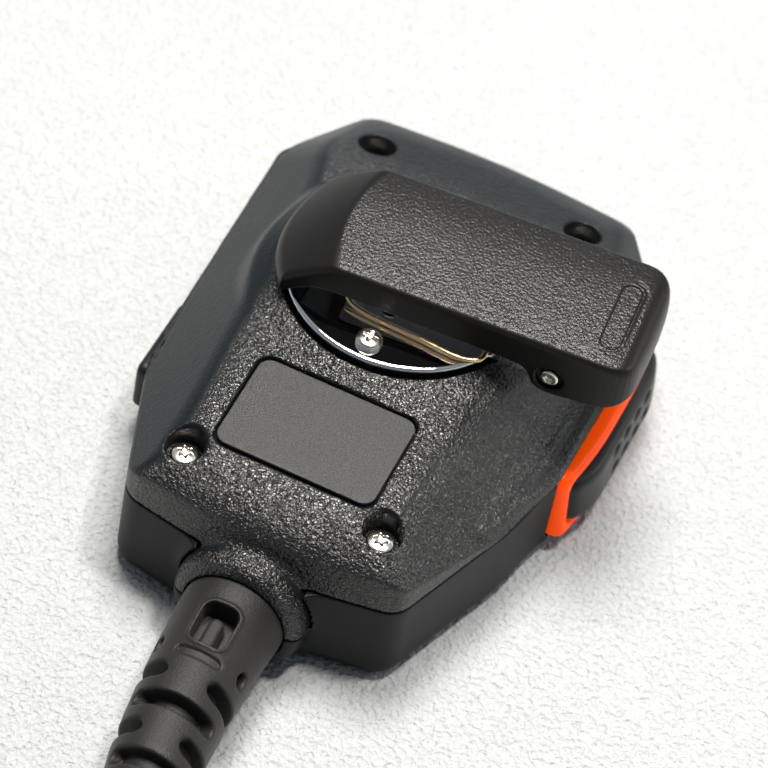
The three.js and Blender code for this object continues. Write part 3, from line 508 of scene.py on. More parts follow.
def spark_plastic(name, colour, rough, smooth_rough):
    """Black plastic with a fine spark-eroded grain where its grain mask is 1."""
    look = Look(name)
    mask = look.mask("grain")
    slow, fine = look.noise(0.1, 3.0, 0.6), look.noise(2.5, 3.0, 0.6)
    relief = look.weighted((fine, 0.7), (look.cells(2.2, "SMOOTH_F1", 0.5, 0.2), -0.5))
    look.bump(look.math("MULTIPLY", relief, mask), 0.24)
    look.bump(look.noise(7.0, 2.0, 0.5), 0.004)
    tone = look.mix(look.blend(0.5, slow, fine), shade(colour, 0.75), shade(colour, 1.3))
    # Painted highlight along the convex edges.
    painted_edge_highlight(look, 0.3, tone, shade(colour, 2.4))
    satin_rough = look.blend(fine, smooth_rough - 0.04, smooth_rough + 0.05)
    look.set("Roughness", look.blend(mask, satin_rough, look.blend(fine, rough + 0.08, rough - 0.08)))
    look.set("Specular IOR Level", look.blend(mask, 0.22, 0.5))
    return look.material


def matte_plastic(name, colour, rough, texture=0.006, scale=5.0, specular=0.5):
    """Smooth moulded plastic with a very fine texture."""
    look = Look(name)
    speckle(look, 0.35, shade(colour, 0.8), shade(colour, 1.2), rough - 0.05, rough + 0.06)
    look.bump(look.noise(scale, 3.0, 0.6), texture)
    look.bump(look.noise(0.15, 1.0, 0.4), 0.03)
    look.set("Specular IOR Level", specular)
    return look.material


def rubber(name, colour, rough, grain=0.02, scale=3.2):
    """Matt rubber: fine moulded grain, fine dust and a soft sheen."""
    look = Look(name)
    mixed = dusty(look, 0.5, rough - 0.05, rough + 0.1, 0.4)
    tone = look.mix(mixed, shade(colour, 0.75), shade(colour, 1.25))
    # Painted highlight along the convex edges.
    painted_edge_highlight(look, 0.45, tone, shade(colour, 1.9), 0.5, 0.6)
    look.bump(look.noise(scale, 4.0, 0.65), grain)
    look.bump(look.cells(scale * 1.3, "SMOOTH_F1", 0.5), grain * 0.4)
    look.set("Sheen Weight", 0.04)
    look.set("Sheen Roughness", 0.5)
    look.set("Specular IOR Level", 0.32)
    return look.material


def metal(name, colour, rough, brushed=0.0, direction=(1, 1, 1), pits=0.002):
    """Plated metal, with slow tarnish and, where brushed, fine lines."""
    look = Look(name, metallic=1.0)
    speckle(look, 0.3, shade(colour, 0.9), colour, rough * 0.8, rough * 1.3 + 0.01, 0.8)
    look.bump(look.noise(6.0, 3.0, 0.6, 0.0, look.stretched(direction)), brushed)
    look.bump(look.noise(2.0, 2.0, 0.5), pits)
    return look.material


def orange_plastic():
    look = Look("orange_plastic")
    speckle(look, 0.25, (0.70, 0.038, 0.001), (0.80, 0.050, 0.001), 0.24, 0.34, 0.3)
    look.bump(look.noise(4.0, 3.0, 0.55), 0.006)
    look.set("Subsurface Weight", 0.12)
    look.set("Subsurface Radius", (1.0, 0.3, 0.1))
    look.set("Subsurface Scale", 0.0006)
    look.set("Specular IOR Level", 0.12)
    # Painted glow: the orange bezel gives off light for the camera, though it is no lamp.
    look.set("Emission Color", (1.0, 0.085, 0.0, 1))
    seen = look.add("ShaderNodeLightPath").outputs["Is Camera Ray"]  # so that its glow stays off the floor
    look.set("Emission Strength", look.math("MULTIPLY", seen, 0.5))
    return look.material


def label_film():
    """Satin charcoal film over a metal-flake base."""
    look = Look("label_film")
    flakes = look.cells(4.2, "F1")
    fine = look.noise(5.0, 3.0, 0.6)
    tone = look.mix(look.span(flakes, 0.1, 0.6, 1.0, 0.0), (0.004, 0.004, 0.004), (0.046, 0.043, 0.040))
    look.set("Base Color", look.mix(look.math("MULTIPLY", fine, 0.3), tone, (0.020, 0.019, 0.018)))
    look.set("Roughness", look.blend(fine, 0.28, 0.40))
    look.bump(look.noise(5.0, 4.0, 0.65), 0.11)
    look.bump(look.noise(0.2, 1.0, 0.4), 0.03)
    return look.material


def solder_mask():
    """Green board with buried tracks."""
    look = Look("board_green")
    tracks = look.add("ShaderNodeTexBrick", {"Vector": look.place, "Scale": 0.35, "Mortar Size": 0.05})
    tone = look.mix(tracks.outputs["Fac"], (0.008, 0.11, 0.035), (0.02, 0.2, 0.07))
    look.set("Base Color", look.mix(look.noise(0.5), tone, (0.008, 0.13, 0.05)))
    look.set("Roughness", look.blend(look.noise(2.0), 0.25, 0.4))
    look.bump(tracks.outputs["Fac"], 0.02)
    return look.material


def woven_cloth():
    """Black mesh behind the sound slots."""
    look = Look("mesh_cloth")
    threads = {"Vector": look.place, "Scale": 0.62}
    warp = look.add("ShaderNodeTexWave", threads)
    weft = look.add("ShaderNodeTexWave", threads, bands_direction="Y")
    weave = look.math("MAXIMUM", warp.outputs["Fac"], weft.outputs["Fac"])
    look.set("Base Color", look.mix(weave, (0.002, 0.002, 0.002), (0.03, 0.03, 0.032)))
    look.set("Roughness", look.blend(look.noise(3.0), 0.75, 0.95))
    look.bump(weave, 0.12)
    return look.material


def pressed_paper():
    look = Look("pressed_paper")
    fibres = look.noise(2.5, 5.0, 0.7, 0.0, look.stretched((1, 3, 1)))
    look.set("Base Color", look.mix(fibres, (0.008, 0.008, 0.009), (0.05, 0.048, 0.046)))
    look.set("Roughness", look.blend(fibres, 0.8, 1.0))
    look.bump(fibres, 0.05)
    return look.material


def insulation(name, colour):
    look = Look(name)
    speckle(look, 0.3, shade(colour, 0.8), colour, 0.28, 0.42, 0.6)
    look.bump(look.noise(4.0, 2.0, 0.5), 0.006)
    return look.material


BLACK_PLASTIC = (0.0055, 0.0050, 0.0046)
# The satin tones are a painted reflection: bluish tones that stand in for the cool room reflected by the black
# plastic.
SATIN_PAINTED_COOL_TONES = ((0.0042, 0.0066, 0.0085), (0.0056, 0.0082, 0.0100))  # of black plastic without grain
LOOKS = {
    "rear_plastic": grained_plastic("rear_plastic", BLACK_PLASTIC, 0.58, 0.19, 0.20, 0.40),
    "front_plastic": matte_plastic("front_plastic", (0.0026, 0.0034, 0.0045), 0.5, 0.010, 5.0, 0.25),
    "lever_plastic": spark_plastic("lever_plastic", (0.0060, 0.0050, 0.0043), 0.27, 0.38),
    "inner_plastic": matte_plastic("inner_plastic", (0.03, 0.03, 0.032), 0.5),
    "orange_plastic": orange_plastic(),
    "label": label_film(),
    "key_rubber": rubber("key_rubber", (0.0034, 0.0040, 0.0046), 0.42, 0.008, 4.5),
    "seal_rubber": rubber("seal_rubber", (0.010, 0.010, 0.010), 0.6, 0.010),
    "boot_rubber": rubber("boot_rubber", (0.0090, 0.0080, 0.0070), 0.48, 0.075, 3.2),
    "chrome": metal("chrome", (0.86, 0.87, 0.89), 0.035, 0.0, (1, 1, 1), 0.0012),
    "nickel": metal("nickel", (0.83, 0.79, 0.72), 0.18, 0.002, (1, 1, 4), 0.004),
    "spring_steel": metal("spring_steel", (1.0, 0.72, 0.40), 0.24, 0.003, (1, 5, 5), 0.002),
    "steel": metal("steel", (0.30, 0.30, 0.31), 0.38, 0.006, (1, 5, 1), 0.004),
    "board": solder_mask(),
    "paper": pressed_paper(),
    "cloth": woven_cloth(),
    "wire_red": insulation("wire_red", (0.5, 0.03, 0.02)),
    "wire_white": insulation("wire_white", (0.75, 0.74, 0.70)),
    "wire_green": insulation("wire_green", (0.03, 0.26, 0.07)),
    "wire_black": insulation("wire_black", (0.012, 0.012, 0.012)),
    "copper": metal("copper", (0.85, 0.42, 0.22), 0.25, 0.004, (4, 1, 4), 0.003),
}

# ---- sizes shared by several pieces

CASE_STEP, PART_STEP, FINE_STEP = 0.3, 0.2, 0.16  # grid steps
BOTTOM_Y, TOP_Y = -45.8, 45.7
SIDE_X = 31.0
PARTING_Z = 15.4
PARTING_GAP = 0.2
WALL, FRONT_WALL = 2.1, 2.0
FRONT_EDGE = 3.1
BEVEL = (11.6, 12.0)  # run and rise of the flanks
BACK_PEAK = 27.8
SWIVEL = tuple(np.array(JOINTS["clip_swivel"]["pos_m"][:2]) / MM)
HINGE_AXIS = JOINTS["clip_hinge"]["axis"]
CLIP_TURN = math.atan2(-HINGE_AXIS[0], HINGE_AXIS[1])
ON_CLIP = {"turn": np.array(Matrix.Rotation(CLIP_TURN, 3, "Z")), "shift": (*SWIVEL, 0)}
HEAD_HEIGHT = 1.5
COUNTERBORE_R, SHANK_HOLE_R = 2.8, 1.4
POST_R = 3.6
LABEL = {"x": 24.3, "y": 16.6, "corner": 2.0, "thick": 0.5, "tilt": 0.055, "at": (-26.5, 26.1)}
DISC_TOP = 30.1
DISC_R = 17.6
WELL_R, WELL_FLOOR = 17.9, 26.9
RING_R, RING_TOP, RING_REACH, RING_FOOT = 19.4, 28.9, 22.8, 22
RING_SLOPE = (0.555, 0.832)  # its outer face's direction, outwards and upwards
HUB_R = 8.6
CORD_Z, CORD_R = 9.0, 3.1
BOOT_R, BOOT_START = 7.6, -49.0
COLLAR_R, COLLAR_SEAM = 10.0, 0.25
KEY_Y, KEY_Z = (-7.8, 28.6), (2.3, 15.1)
KEY_MID = (sum(KEY_Y) / 2, sum(KEY_Z) / 2)
KEY_HALF = (np.ptp(KEY_Y) / 2, np.ptp(KEY_Z) / 2)
DIMPLE = {"rows": 1.8, "pitch": 3.9, "shift": 3.8, "half": (1.45, 0.95, 0.75)}
SEAL_INSET, SEAL_WIDTH = 1.4, 0.8
KEY_FACE, KEY_ROOT, KEY_BAND, KEY_CROWN, KEY_DRAFT = 34.3, 28.6, 1.9, 35.6, 0.09
JACK_Y, JACK_Z = -10.8, 9.0
JACK_COVER_Y, JACK_COVER_Z = (-18.5, -3.2), (4.6, 13.4)
JACK_MID = (sum(JACK_COVER_Y) / 2, sum(JACK_COVER_Z) / 2)
JACK_HALF = (np.ptp(JACK_COVER_Y) / 2, np.ptp(JACK_COVER_Z) / 2)
SPEAKER_Y, SLOTS_R, SLOT_PITCH, SLOT_HALF, DISH_R = 9, 16.4, 3.6, 0.8, 260
MIC_PORT = (8.5, -30.4)
BOARD_POSTS_Y = (36, -22)
RIGHT_SIDE = [(21.2, -41.9, 4.6), (29.6, -17.5, 25), (SIDE_X, 30, 4.6), (21.8, 42.9, 3.5)]
KEY_LEDGE = [(25, -24), (26.2, -24), (31.7, -7.4), (31.7, 28.4), (30.4, 31), (27, 34), (25, 34)]
KEY_SHELF = [(26, 13), (31.7, 13), (31.6, 16.1), (30.9, 16.8), (27.9, 17.7), (26, 17.9)]
FLANK_CORNERS = [(24.6, -47.5), (29.6, -17.5), (SIDE_X, 30), (22.4, 43.9)]


def middle(node):
    """A CAD node's middle seen from above, and its lowest and highest place."""
    low, high = low_high(node)
    return (low[:2] + high[:2]) / 2, low[2], high[2]


SCREWS = {f"case_screw_{i}": middle(f"case_screw_{i}") for i in (1, 2, 3, 4)}


def mirrored(half):
    return [(-corner[0], *corner[1:]) for corner in reversed(half)]


CASE_OUTLINE = rounded_outline([(0, BOTTOM_Y, 40), *RIGHT_SIDE, (0, TOP_Y, 40), *mirrored(RIGHT_SIDE)])


def back_outline():
    """The back of the case seen from the side."""
    points = [(BOTTOM_Y - 1, PARTING_Z - 6), (BOTTOM_Y + 0.4, PARTING_Z)]
    for control, end in (
        ((BOTTOM_Y + 1.2, 22.4), (-42.2, 23.5)),
        ((-34.5, 26.6), (-22, 27.2)),
        ((-10, BACK_PEAK), (3, BACK_PEAK)),
        ((18, BACK_PEAK), (41.6, 19.5)),
        ((44.1, 17.4), (TOP_Y - 0.4, PARTING_Z)),
    ):
        points += bend(points[-1], control, end, 10)
    return [*points, (TOP_Y + 1, PARTING_Z - 6)]


def leaning_flanks(x, y, z):
    """Largest distance outside the planes of the flanks, which lean inwards above the parting line."""
    corners = [(0, BOTTOM_Y - 6), *FLANK_CORNERS, (0, TOP_Y + 1), *mirrored(FLANK_CORNERS)]
    run, rise = BEVEL
    lean = run / rise
    flat = 1 / math.hypot(1, lean)
    field = None
    for (ax, ay), (bx, by) in zip(corners, corners[1:] + corners[:1]):
        length = math.hypot(bx - ax, by - ay)
        outward = ((by - ay) / length, -(bx - ax) / length)
        plane = ((x - ax) * outward[0] + (y - ay) * outward[1] + lean * (z - PARTING_Z)) * flat
        field = plane if field is None else smooth_max(field, plane, 1.6)
    return field


def boot_passage(around, y):
    """Room for the boot's neck and flange in the bottom of the case."""
    neck = np.maximum(around - BOOT_R - 0.1, np.maximum(y - BOOT_START - 2.7, -60 - y))
    waist = np.maximum(around - 6.3, y + 38)
    flange = np.maximum(around - 8.1, np.abs(y + 41.6) - 2.6)
    return np.minimum(np.minimum(neck, waist), flange)


def collar(around, y):
    body = smooth_max(around - COLLAR_R, BOOT_START + 0.2 - y, 2.6)
    return np.maximum(body, y + 40)


# ---- case


def seal_gap(x, y):
    """Negative beside the talk key and the cord, where the seal and its groove stop."""
    key_side = np.maximum(np.abs(y - KEY_MID[0]) - 20, 27 - x)
    cord_side = np.maximum(np.abs(x) - COLLAR_R - 1.2, y - BOTTOM_Y - 4)
    return np.minimum(key_side, cord_side)


def build_rear_case():
    x, y, z, place = lattice_of("rear_case", 1.2, CASE_STEP)
    bottom = PARTING_Z + PARTING_GAP / 2
    plan = outline(x, y, CASE_OUTLINE)
    skin = smooth_max(plan, leaning_flanks(x, y, z), 0.3)
    skin = smooth_max(skin, outline(y, z, back_outline()), 2.4)
    shelf = smooth_max(outline(x, z, KEY_SHELF), outline(x, y, KEY_LEDGE), 1.0)
    skin = smooth_min(skin, shelf, 2.2)
    from_swivel = away(x, y, SWIVEL)
    slope = RING_SLOPE[0] * (from_swivel - RING_R) + RING_SLOPE[1] * (z - RING_TOP + 0.55)
    ring = smooth_max(smooth_max(z - RING_TOP, slope, 0.8), from_swivel - RING_REACH, 1.2)
    ring = np.maximum(ring, RING_FOOT - z)
    around = away(x, z, (0, CORD_Z))
    neck = collar(around, y)
    solid = np.maximum(smooth_min(smooth_min(skin, ring, 1.8), neck, 1.4), bottom - z)
    inside = np.maximum(np.maximum(skin + WALL, 2.5 - z), BOTTOM_Y + 3.4 - y)
    solid = cut(solid, inside)
    for centre, _, _ in SCREWS.values():
        post = np.maximum(away(x, y, centre) - POST_R, skin + 0.5)
        solid = np.minimum(solid, np.maximum(post, bottom - z))
    solid = np.minimum(solid, np.maximum(neck, CORD_Z + PARTING_GAP / 2 - z))
    solid = cut(solid, np.maximum(from_swivel - WELL_R, WELL_FLOOR - z), 0.45)
    solid = cut(solid, from_swivel - HUB_R - 0.3)
    solid = cut(solid, np.maximum(from_swivel - 12.4, z - WELL_FLOOR + 2))
    solid = cut(solid, boot_passage(around, y))
    for centre, _, top in SCREWS.values():
        from_screw = away(x, y, centre)
        solid = cut(solid, np.maximum(from_screw - COUNTERBORE_R, top - HEAD_HEIGHT - z), 0.5)
        solid = cut(solid, from_screw - SHANK_HOLE_R)
    sine, cosine = math.sin(LABEL["tilt"]), math.cos(LABEL["tilt"])
    dy, dz = y - LABEL["at"][0], z - LABEL["at"][1]
    across, gap = dy * cosine + dz * sine, 0.22
    flat = rounded_box(x, across, LABEL["x"] / 2 + gap, LABEL["y"] / 2 + gap, LABEL["corner"])
    solid = cut(solid, np.maximum(flat, dy * sine - dz * cosine - 0.3), 0.25)
    groove = np.maximum(np.abs(plan + SEAL_INSET + 0.02) - SEAL_WIDTH / 2 + 0.04, z - PARTING_Z - 0.55)
    solid = cut(solid, np.maximum(groove, -seal_gap(x, y)))

    def masks(points, normals):
        px, py, pz = points.T
        plateau = ramp01(normals[:, 2], 0.80, 0.95)
        bottom_roll = ramp01(-normals[:, 1], 0.25, 0.5) * ramp01(-py, 36, 40)
        side = ramp01(np.abs(normals[:, 0]), 0.3, 0.55) * (1 - ramp01(-py, 40, 44))
        radial = np.hypot(px - SWIVEL[0], py - SWIVEL[1])
        boss = ramp01(radial, 17.7, 18.6) * (1 - ramp01(radial, 22.6, 23.6)) * ramp01(pz, 24.5, 25.5)
        grain = np.maximum.reduce([plateau, bottom_roll, boss * 0.9, ramp01(-py, 45.2, 46.0)])
        lower_right = (1 - ramp01(py, -8, 8)) * (px > 0)
        flank = side * (0.2 + 0.7 * lower_right)
        inner = (radial < WELL_R + 0.05) & (pz > WELL_FLOOR - 0.1)
        label_floor = (np.abs(px) < 12.4) & (np.abs(py + 26.5) < 8.6) & (pz < 26.2)
        # Less grain towards the top and on the flanks, most on the lower right flank. Where there is less grain,
        # the colour moves to the painted cool satin tone.
        grain = np.maximum(grain * (1 - side), flank) * (1 - 0.55 * ramp01(py, 22, 34))
        return {"grain": np.where(inner | label_floor, 0.0, grain)}

    net_piece("rear_shell", solid, place, "housing", "rear_plastic", "rear_case", masks)


def key_opening(x, y, z):
    low, high = KEY_Z[0] - 0.3, PARTING_Z + 2
    flat = rounded_box(y - KEY_MID[0], z - (low + high) / 2, KEY_HALF[0] + 0.3, (high - low) / 2, 2.4)
    return np.maximum(flat, KEY_ROOT - 3.3 - x)


def build_front_case():
    x, y, z, place = lattice_of("front_case", 1.2, CASE_STEP)
    plan = smooth_min(outline(x, y, CASE_OUTLINE), outline(x, y, KEY_LEDGE), 1.5)
    top = PARTING_Z - PARTING_GAP / 2
    a, b = plan + FRONT_EDGE, FRONT_EDGE - z
    skin = away(np.maximum(a, 0), np.maximum(b, 0)) + np.minimum(np.maximum(a, b), 0) - FRONT_EDGE
    around = away(x, z, (0, CORD_Z))
    solid = cut(np.maximum(skin, z - top), np.maximum(plan + WALL, FRONT_WALL - z), 0.4)
    for centre, _, _ in SCREWS.values():
        post = np.maximum(away(x, y, centre) - POST_R, skin + 0.8)
        solid = smooth_min(solid, np.maximum(post, z - top), 0.6)
    anchor_block = rounded_box(x, y + 42, 10.5, 3.5, 1)
    anchor_block = np.maximum(anchor_block, np.maximum(z - PARTING_Z + 3, skin + 0.8))
    solid = np.minimum(solid, anchor_block)
    for post_y in BOARD_POSTS_Y:
        from_post = away(x, y, (0, post_y))
        solid = np.minimum(solid, np.maximum(from_post - 2.2, np.maximum(z - 13, 1 - z)))
        solid = cut(solid, np.maximum(from_post - 1.0, 7 - z))
    flare = np.maximum(smooth_min(skin, collar(around, y), 3.0), np.maximum(z - top, y + 43))
    solid = np.minimum(solid, smooth_max(flare, -z, 1.2))
    solid = cut(solid, np.maximum(around - COLLAR_R - COLLAR_SEAM, np.maximum(CORD_Z - z, y + 38)))
    solid = cut(solid, boot_passage(around, y))
    solid = cut(solid, key_opening(x, y, z), 0.35)
    pocket = rounded_box(y - JACK_MID[0], z - JACK_MID[1], JACK_HALF[0] + 0.3, JACK_HALF[1] + 0.3, 1.6)
    solid = cut(solid, np.maximum(pocket, x + 28.6), 0.35)
    solid = cut(solid, np.maximum(away(y, z, (JACK_Y, JACK_Z)) - 3.6, x + 20))
    for i in range(-4, 5):
        half = math.sqrt(SLOTS_R**2 - (SLOT_PITCH * i) ** 2) - SLOT_HALF
        slot = rounded_box(x, y - SPEAKER_Y - SLOT_PITCH * i, half, SLOT_HALF, 0.75)
        solid = cut(solid, np.maximum(slot, z - 3), 0.7)
    from_speaker = away(x, y, (0, SPEAKER_Y))
    dish = np.maximum(away(from_speaker, z, (0, -DISH_R)) - DISH_R - 0.35, from_speaker - 18.4)
    solid = cut(solid, dish, 0.3)
    solid = cut(solid, np.maximum(away(x, y, MIC_PORT) - 0.9, z - 5), 0.7)
    for centre, _, _ in SCREWS.values():
        solid = cut(solid, np.maximum(away(x, y, centre) - 1.3, 5 - z))
    groove = np.maximum(np.abs(plan + SEAL_INSET) - SEAL_WIDTH / 2, PARTING_Z - 0.6 - z)
    solid = cut(solid, np.maximum(groove, -seal_gap(x, y)))
    net_piece("front_shell", solid, place, "housing", "front_plastic", "front_case")


def build_label():
    half = LABEL["x"] / 2 + 1
    x, y, z, place = lattice((-half, -10, -0.8), (half, 10, 1.3), FINE_STEP)
    flat = rounded_box(x, y, LABEL["x"] / 2, LABEL["y"] / 2, LABEL["corner"])
    field = smooth_max(flat, np.abs(z - LABEL["thick"] / 2) - LABEL["thick"] / 2, 0.2)
    tilt = np.array(Matrix.Rotation(LABEL["tilt"], 3, "X"))
    where = {"turn": tilt, "shift": (0, *LABEL["at"])}
    net_piece("name_plate_blank", field, place, "housing", "label", "label_plate", **where)


def build_screw(name, node, body, head_r, height, shank_r, lobes, recess_depth, bottom):
    """A pan-headed screw: lobes 6 is a six-lobed recess, 4 a cross. bottom is how far its shank is drawn."""
    centre, lowest, highest = middle(node)
    seat = highest - height
    reach = head_r + 0.3
    low = max(bottom, lowest) - 0.3
    x, y, z, place = lattice((-reach, -reach, low), (reach, reach, highest + 0.3), 0.075)
    radial = away(x, y)
    angle = np.arctan2(y, x)
    dome_r = 4.2
    dome = away(radial, z, (0, seat - dome_r)) - (height + dome_r)
    head = smooth_max(smooth_max(radial - head_r, dome, 0.5), seat - z, 0.15)
    if lobes == 6:
        recess = radial - (0.92 + 0.2 * np.cos(6 * angle))
    else:
        arm, half = 1.05, 0.3
        lying = np.maximum(np.abs(x) - arm, np.abs(y) - half)
        recess = np.minimum(lying, np.maximum(np.abs(y) - arm, np.abs(x) - half))
    head = cut(head, np.maximum(recess, highest - recess_depth + 0.25 * radial - z), 0.12)
    pitch = 0.9
    turn = (z / pitch - angle / (2 * math.pi)) % 1
    thread = shank_r - 0.16 + 0.3 * np.abs(turn - 0.5)
    shank = np.maximum((radial - thread) * 0.8, np.maximum(z - seat - 0.3, low + 0.3 - z))
    net_piece(name, np.minimum(head, shank), place, body, "nickel", node, shift=(*centre, 0))


# ---- talk key and jack cover


def falling_off(x, y, face, inwards, run, drop, soften):
    """Field of a key face that is flat in its middle and falls off towards both ends."""
    from_end = np.minimum(y - KEY_Y[0] - inwards, KEY_Y[1] - inwards - y)
    slope = drop / run
    tilted = (x - face + slope * (run - from_end)) / math.hypot(1, slope)
    return smooth_max(x - face, tilted, soften)


def build_bezel():
    x, y, z, place = lattice((27.8, KEY_Y[0] - 1, KEY_Z[0] - 1), (36, KEY_Y[1] + 1, KEY_Z[1] + 1), PART_STEP)
    x = x - KEY_DRAFT * (KEY_MID[1] - z)
    dy, dz = y - KEY_MID[0], z - KEY_MID[1]
    front = falling_off(x, y, KEY_FACE, 0, 9.3, 1.5, 0.9)
    field = smooth_max(rounded_box(dy, dz, *KEY_HALF, 2.2), front, 1.5)
    field = cut(field, rounded_box(dy, dz, KEY_HALF[0] - KEY_BAND, KEY_HALF[1] - KEY_BAND, 1.7), 0.35)
    field = smooth_max(field, KEY_ROOT - x, 0.3)
    net_piece("talk_key_bezel", field, place, "housing", "orange_plastic", "key_bezel")


def build_talk_key():
    inset = KEY_BAND + 0.3
    x, y, z, place = lattice((30, KEY_Y[0] + 1, KEY_Z[0] + 1), (37.4, KEY_Y[1] - 1, KEY_Z[1] - 1), PART_STEP)
    x = x - KEY_DRAFT * (KEY_MID[1] - z)
    dy, dz = y - KEY_MID[0], z - KEY_MID[1]
    flat = rounded_box(dy, dz, KEY_HALF[0] - inset, KEY_HALF[1] - inset, 1.9)
    field = smooth_max(flat, falling_off(x, y, KEY_CROWN, KEY_BAND, 5, 2.2, 1.2), 1.8)
    field = smooth_max(field, KEY_ROOT + 2.6 - x, 0.3)
    long, wide, deep = DIMPLE["half"]
    for side in (-DIMPLE["rows"], DIMPLE["rows"]):
        for step in range(-2, 3):
            flat = away((dy - DIMPLE["shift"] - DIMPLE["pitch"] * step) / long, (dz - side) / wide)
            field = cut(field, (away(flat, (x - KEY_CROWN - 0.15) / deep) - 1) * 0.8, 0.35)
    core = rounded_box(dy, dz, 13.1, 2.4, 1)
    field = cut(field, np.maximum(core, x - KEY_ROOT - 2.7))
    net_piece("talk_key_cap", field, place, "key", "key_rubber", "talk_key")


def build_jack_cover():
    lowest, highest = low_high("jack_cover")
    x, y, z, place = lattice_of("jack_cover", 0.6, FINE_STEP)
    flat = rounded_box(y - JACK_MID[0], z - JACK_MID[1], *JACK_HALF, 1.5)
    slab = smooth_max(smooth_max(flat, lowest[0] - x, 1.1), x + 28.9, 0.3)
    plug = smooth_max(away(y, z, (JACK_Y, JACK_Z)) - 2.4, x - highest[0], 0.4)
    plug = np.maximum(plug, -29.2 - x)
    net_piece("jack_flap_cover", smooth_min(slab, plug, 0.4), place, "jack_flap", "key_rubber", "jack_cover")


# ---- cord


LEAN_FROM, LEAN_LENGTH, LEAN_BEND = -50, 34, 0.0024
BOOT_STATIONS = [-92.6, -86, -78, -68, -58, -50, -47, -40]
BOOT_RADII = [5.3, 5.6, 6.4, 6.8, 7.2, 7.6, 7.6, 7.6]
WINDOW_Y = -56.5
SLOT_ROWS = [-65.5 - 5 * row for row in range(5)]


def lean(y):
    """How far the cord has leant towards +X at a place along it."""
    along = np.maximum(LEAN_FROM - y, 0)
    bent = np.minimum(along, LEAN_LENGTH)
    return LEAN_BEND * bent**2 + 2 * LEAN_BEND * bent * (along - bent)


def build_boot():
    x, y, z, place = lattice_of("cord_boot", 0.8, PART_STEP)
    x = x - lean(y)
    dz = z - CORD_Z
    around = away(x, dz)
    angle = np.arctan2(x, dz)  # 0 at the top, positive towards +X
    outside = np.interp(y, BOOT_STATIONS, BOOT_RADII).astype(np.float32)
    solid = np.maximum(smooth_max(around - outside, -92 - y, 1.2), y + 46.4)
    waist = np.maximum(around - 6.2, np.maximum(y + 40, -47 - y))
    flange = np.maximum(around - 7.6, np.abs(y + 41.2) - 1.2)
    solid = np.minimum(np.minimum(solid, waist), flange)
    width, mean_r, half_angle = 1.28, 6.2, 1.12
    for row, centre in enumerate(SLOT_ROWS):
        for side in (0, math.pi):
            middle_angle = side + (0 if row % 2 else math.pi / 2)
            turn = np.abs((angle - middle_angle + math.pi) % (2 * math.pi) - math.pi)
            past_end = np.maximum(turn * mean_r - (half_angle * mean_r - width * 1.1), 0)
            slot = away(past_end, y, (0, centre)) - width
            solid = cut(solid, np.maximum(slot, 4.3 - around), 0.55)
    lip = np.abs(rounded_box(x, y - WINDOW_Y, 2.85, 3.75, 1.7)) - 0.32
    lip = smooth_max(smooth_max(lip, around - outside - 0.22, 0.3), 5 - dz, 0.3)
    solid = smooth_min(solid, lip, 0.4)
    solid = cut(solid, np.maximum(rounded_box(x, y - WINDOW_Y, 2.6, 3.5, 1.4), 3.9 - dz), 0.35)
    bar = smooth_max(rounded_box(x, y - WINDOW_Y + 1.4, 1.15, 3.3, 1.1), dz - 6.5, 0.9)
    solid = smooth_min(solid, np.maximum(bar, 3.5 - dz), 0.3)
    crescent = away(np.maximum(np.abs(x) - 2.6, 0), y, (0, WINDOW_Y - 5.4)) - 0.55
    solid = cut(solid, np.maximum(crescent, outside - 0.45 - around), 0.8)
    for side in (-1, 1):
        spot = np.sqrt((angle * 7.1 - side * 7.9) ** 2 * 0.9 + ((y - WINDOW_Y + 3.9) * 0.75) ** 2) - 0.95
        solid = cut(solid, np.maximum(spot, 4.9 - around), 0.5)
    solid = cut(solid, around - CORD_R - 0.2)
    net_piece("boot_flexing", solid, place, "housing", "boot_rubber", "cord_boot")


def build_cord():
    """The jacket: a tube with a square-cut end."""
    lowest, highest = low_high("cord_jacket")
    x, y, z, place = lattice_of("cord_jacket", 0.8, 0.25)
    around = away(x - lean(y), z, (0, CORD_Z))
    body = np.maximum(smooth_max(around - CORD_R, lowest[1] - y, 0.35), y - highest[1])
    field = smooth_max(body, 2.2 - around, 0.2)
    net_piece("cord_outer_jacket", field, place, "housing", "seal_rubber", "cord_jacket")


def build_wires():
    """Insulated wires with bare copper at their cut ends."""
    end_y = low_high("cord_jacket")[0][1]
    wires = {"wire_red": (-0.85, 0.85, -5), "wire_white": (0.85, 0.85, 5)}
    wires.update({"wire_green": (-0.85, -0.85, -2), "wire_black": (0.85, -0.85, 2)})
    for name, (off_x, off_z, spread) in wires.items():
        z = CORD_Z + off_z
        path = [(off_x + float(lean(y)), y, z) for y in (end_y, -101, -84, -67, -50, -40)]
        path += [(off_x, -36.5, z), (spread * 0.7, -32.5, z - 0.4)]
        path += [(spread, -29.4, 10.4), (spread, -28.6, 12.7)]
        line = curve_through(path, 8)
        mesh = make_mesh(name, *swept(line, [0.65] * len(line)))
        add_piece(f"{name}_insulated", mesh, "housing", name, [name])
        strand = make_mesh(f"{name}_core", *swept(line[:3] - np.array([0, 0.02, 0]), [0.3] * 3, 14))
        add_piece(f"{name}_core", strand, "housing", name, look=LOOKS["copper"])


# ---- clip, drawn about its swivel


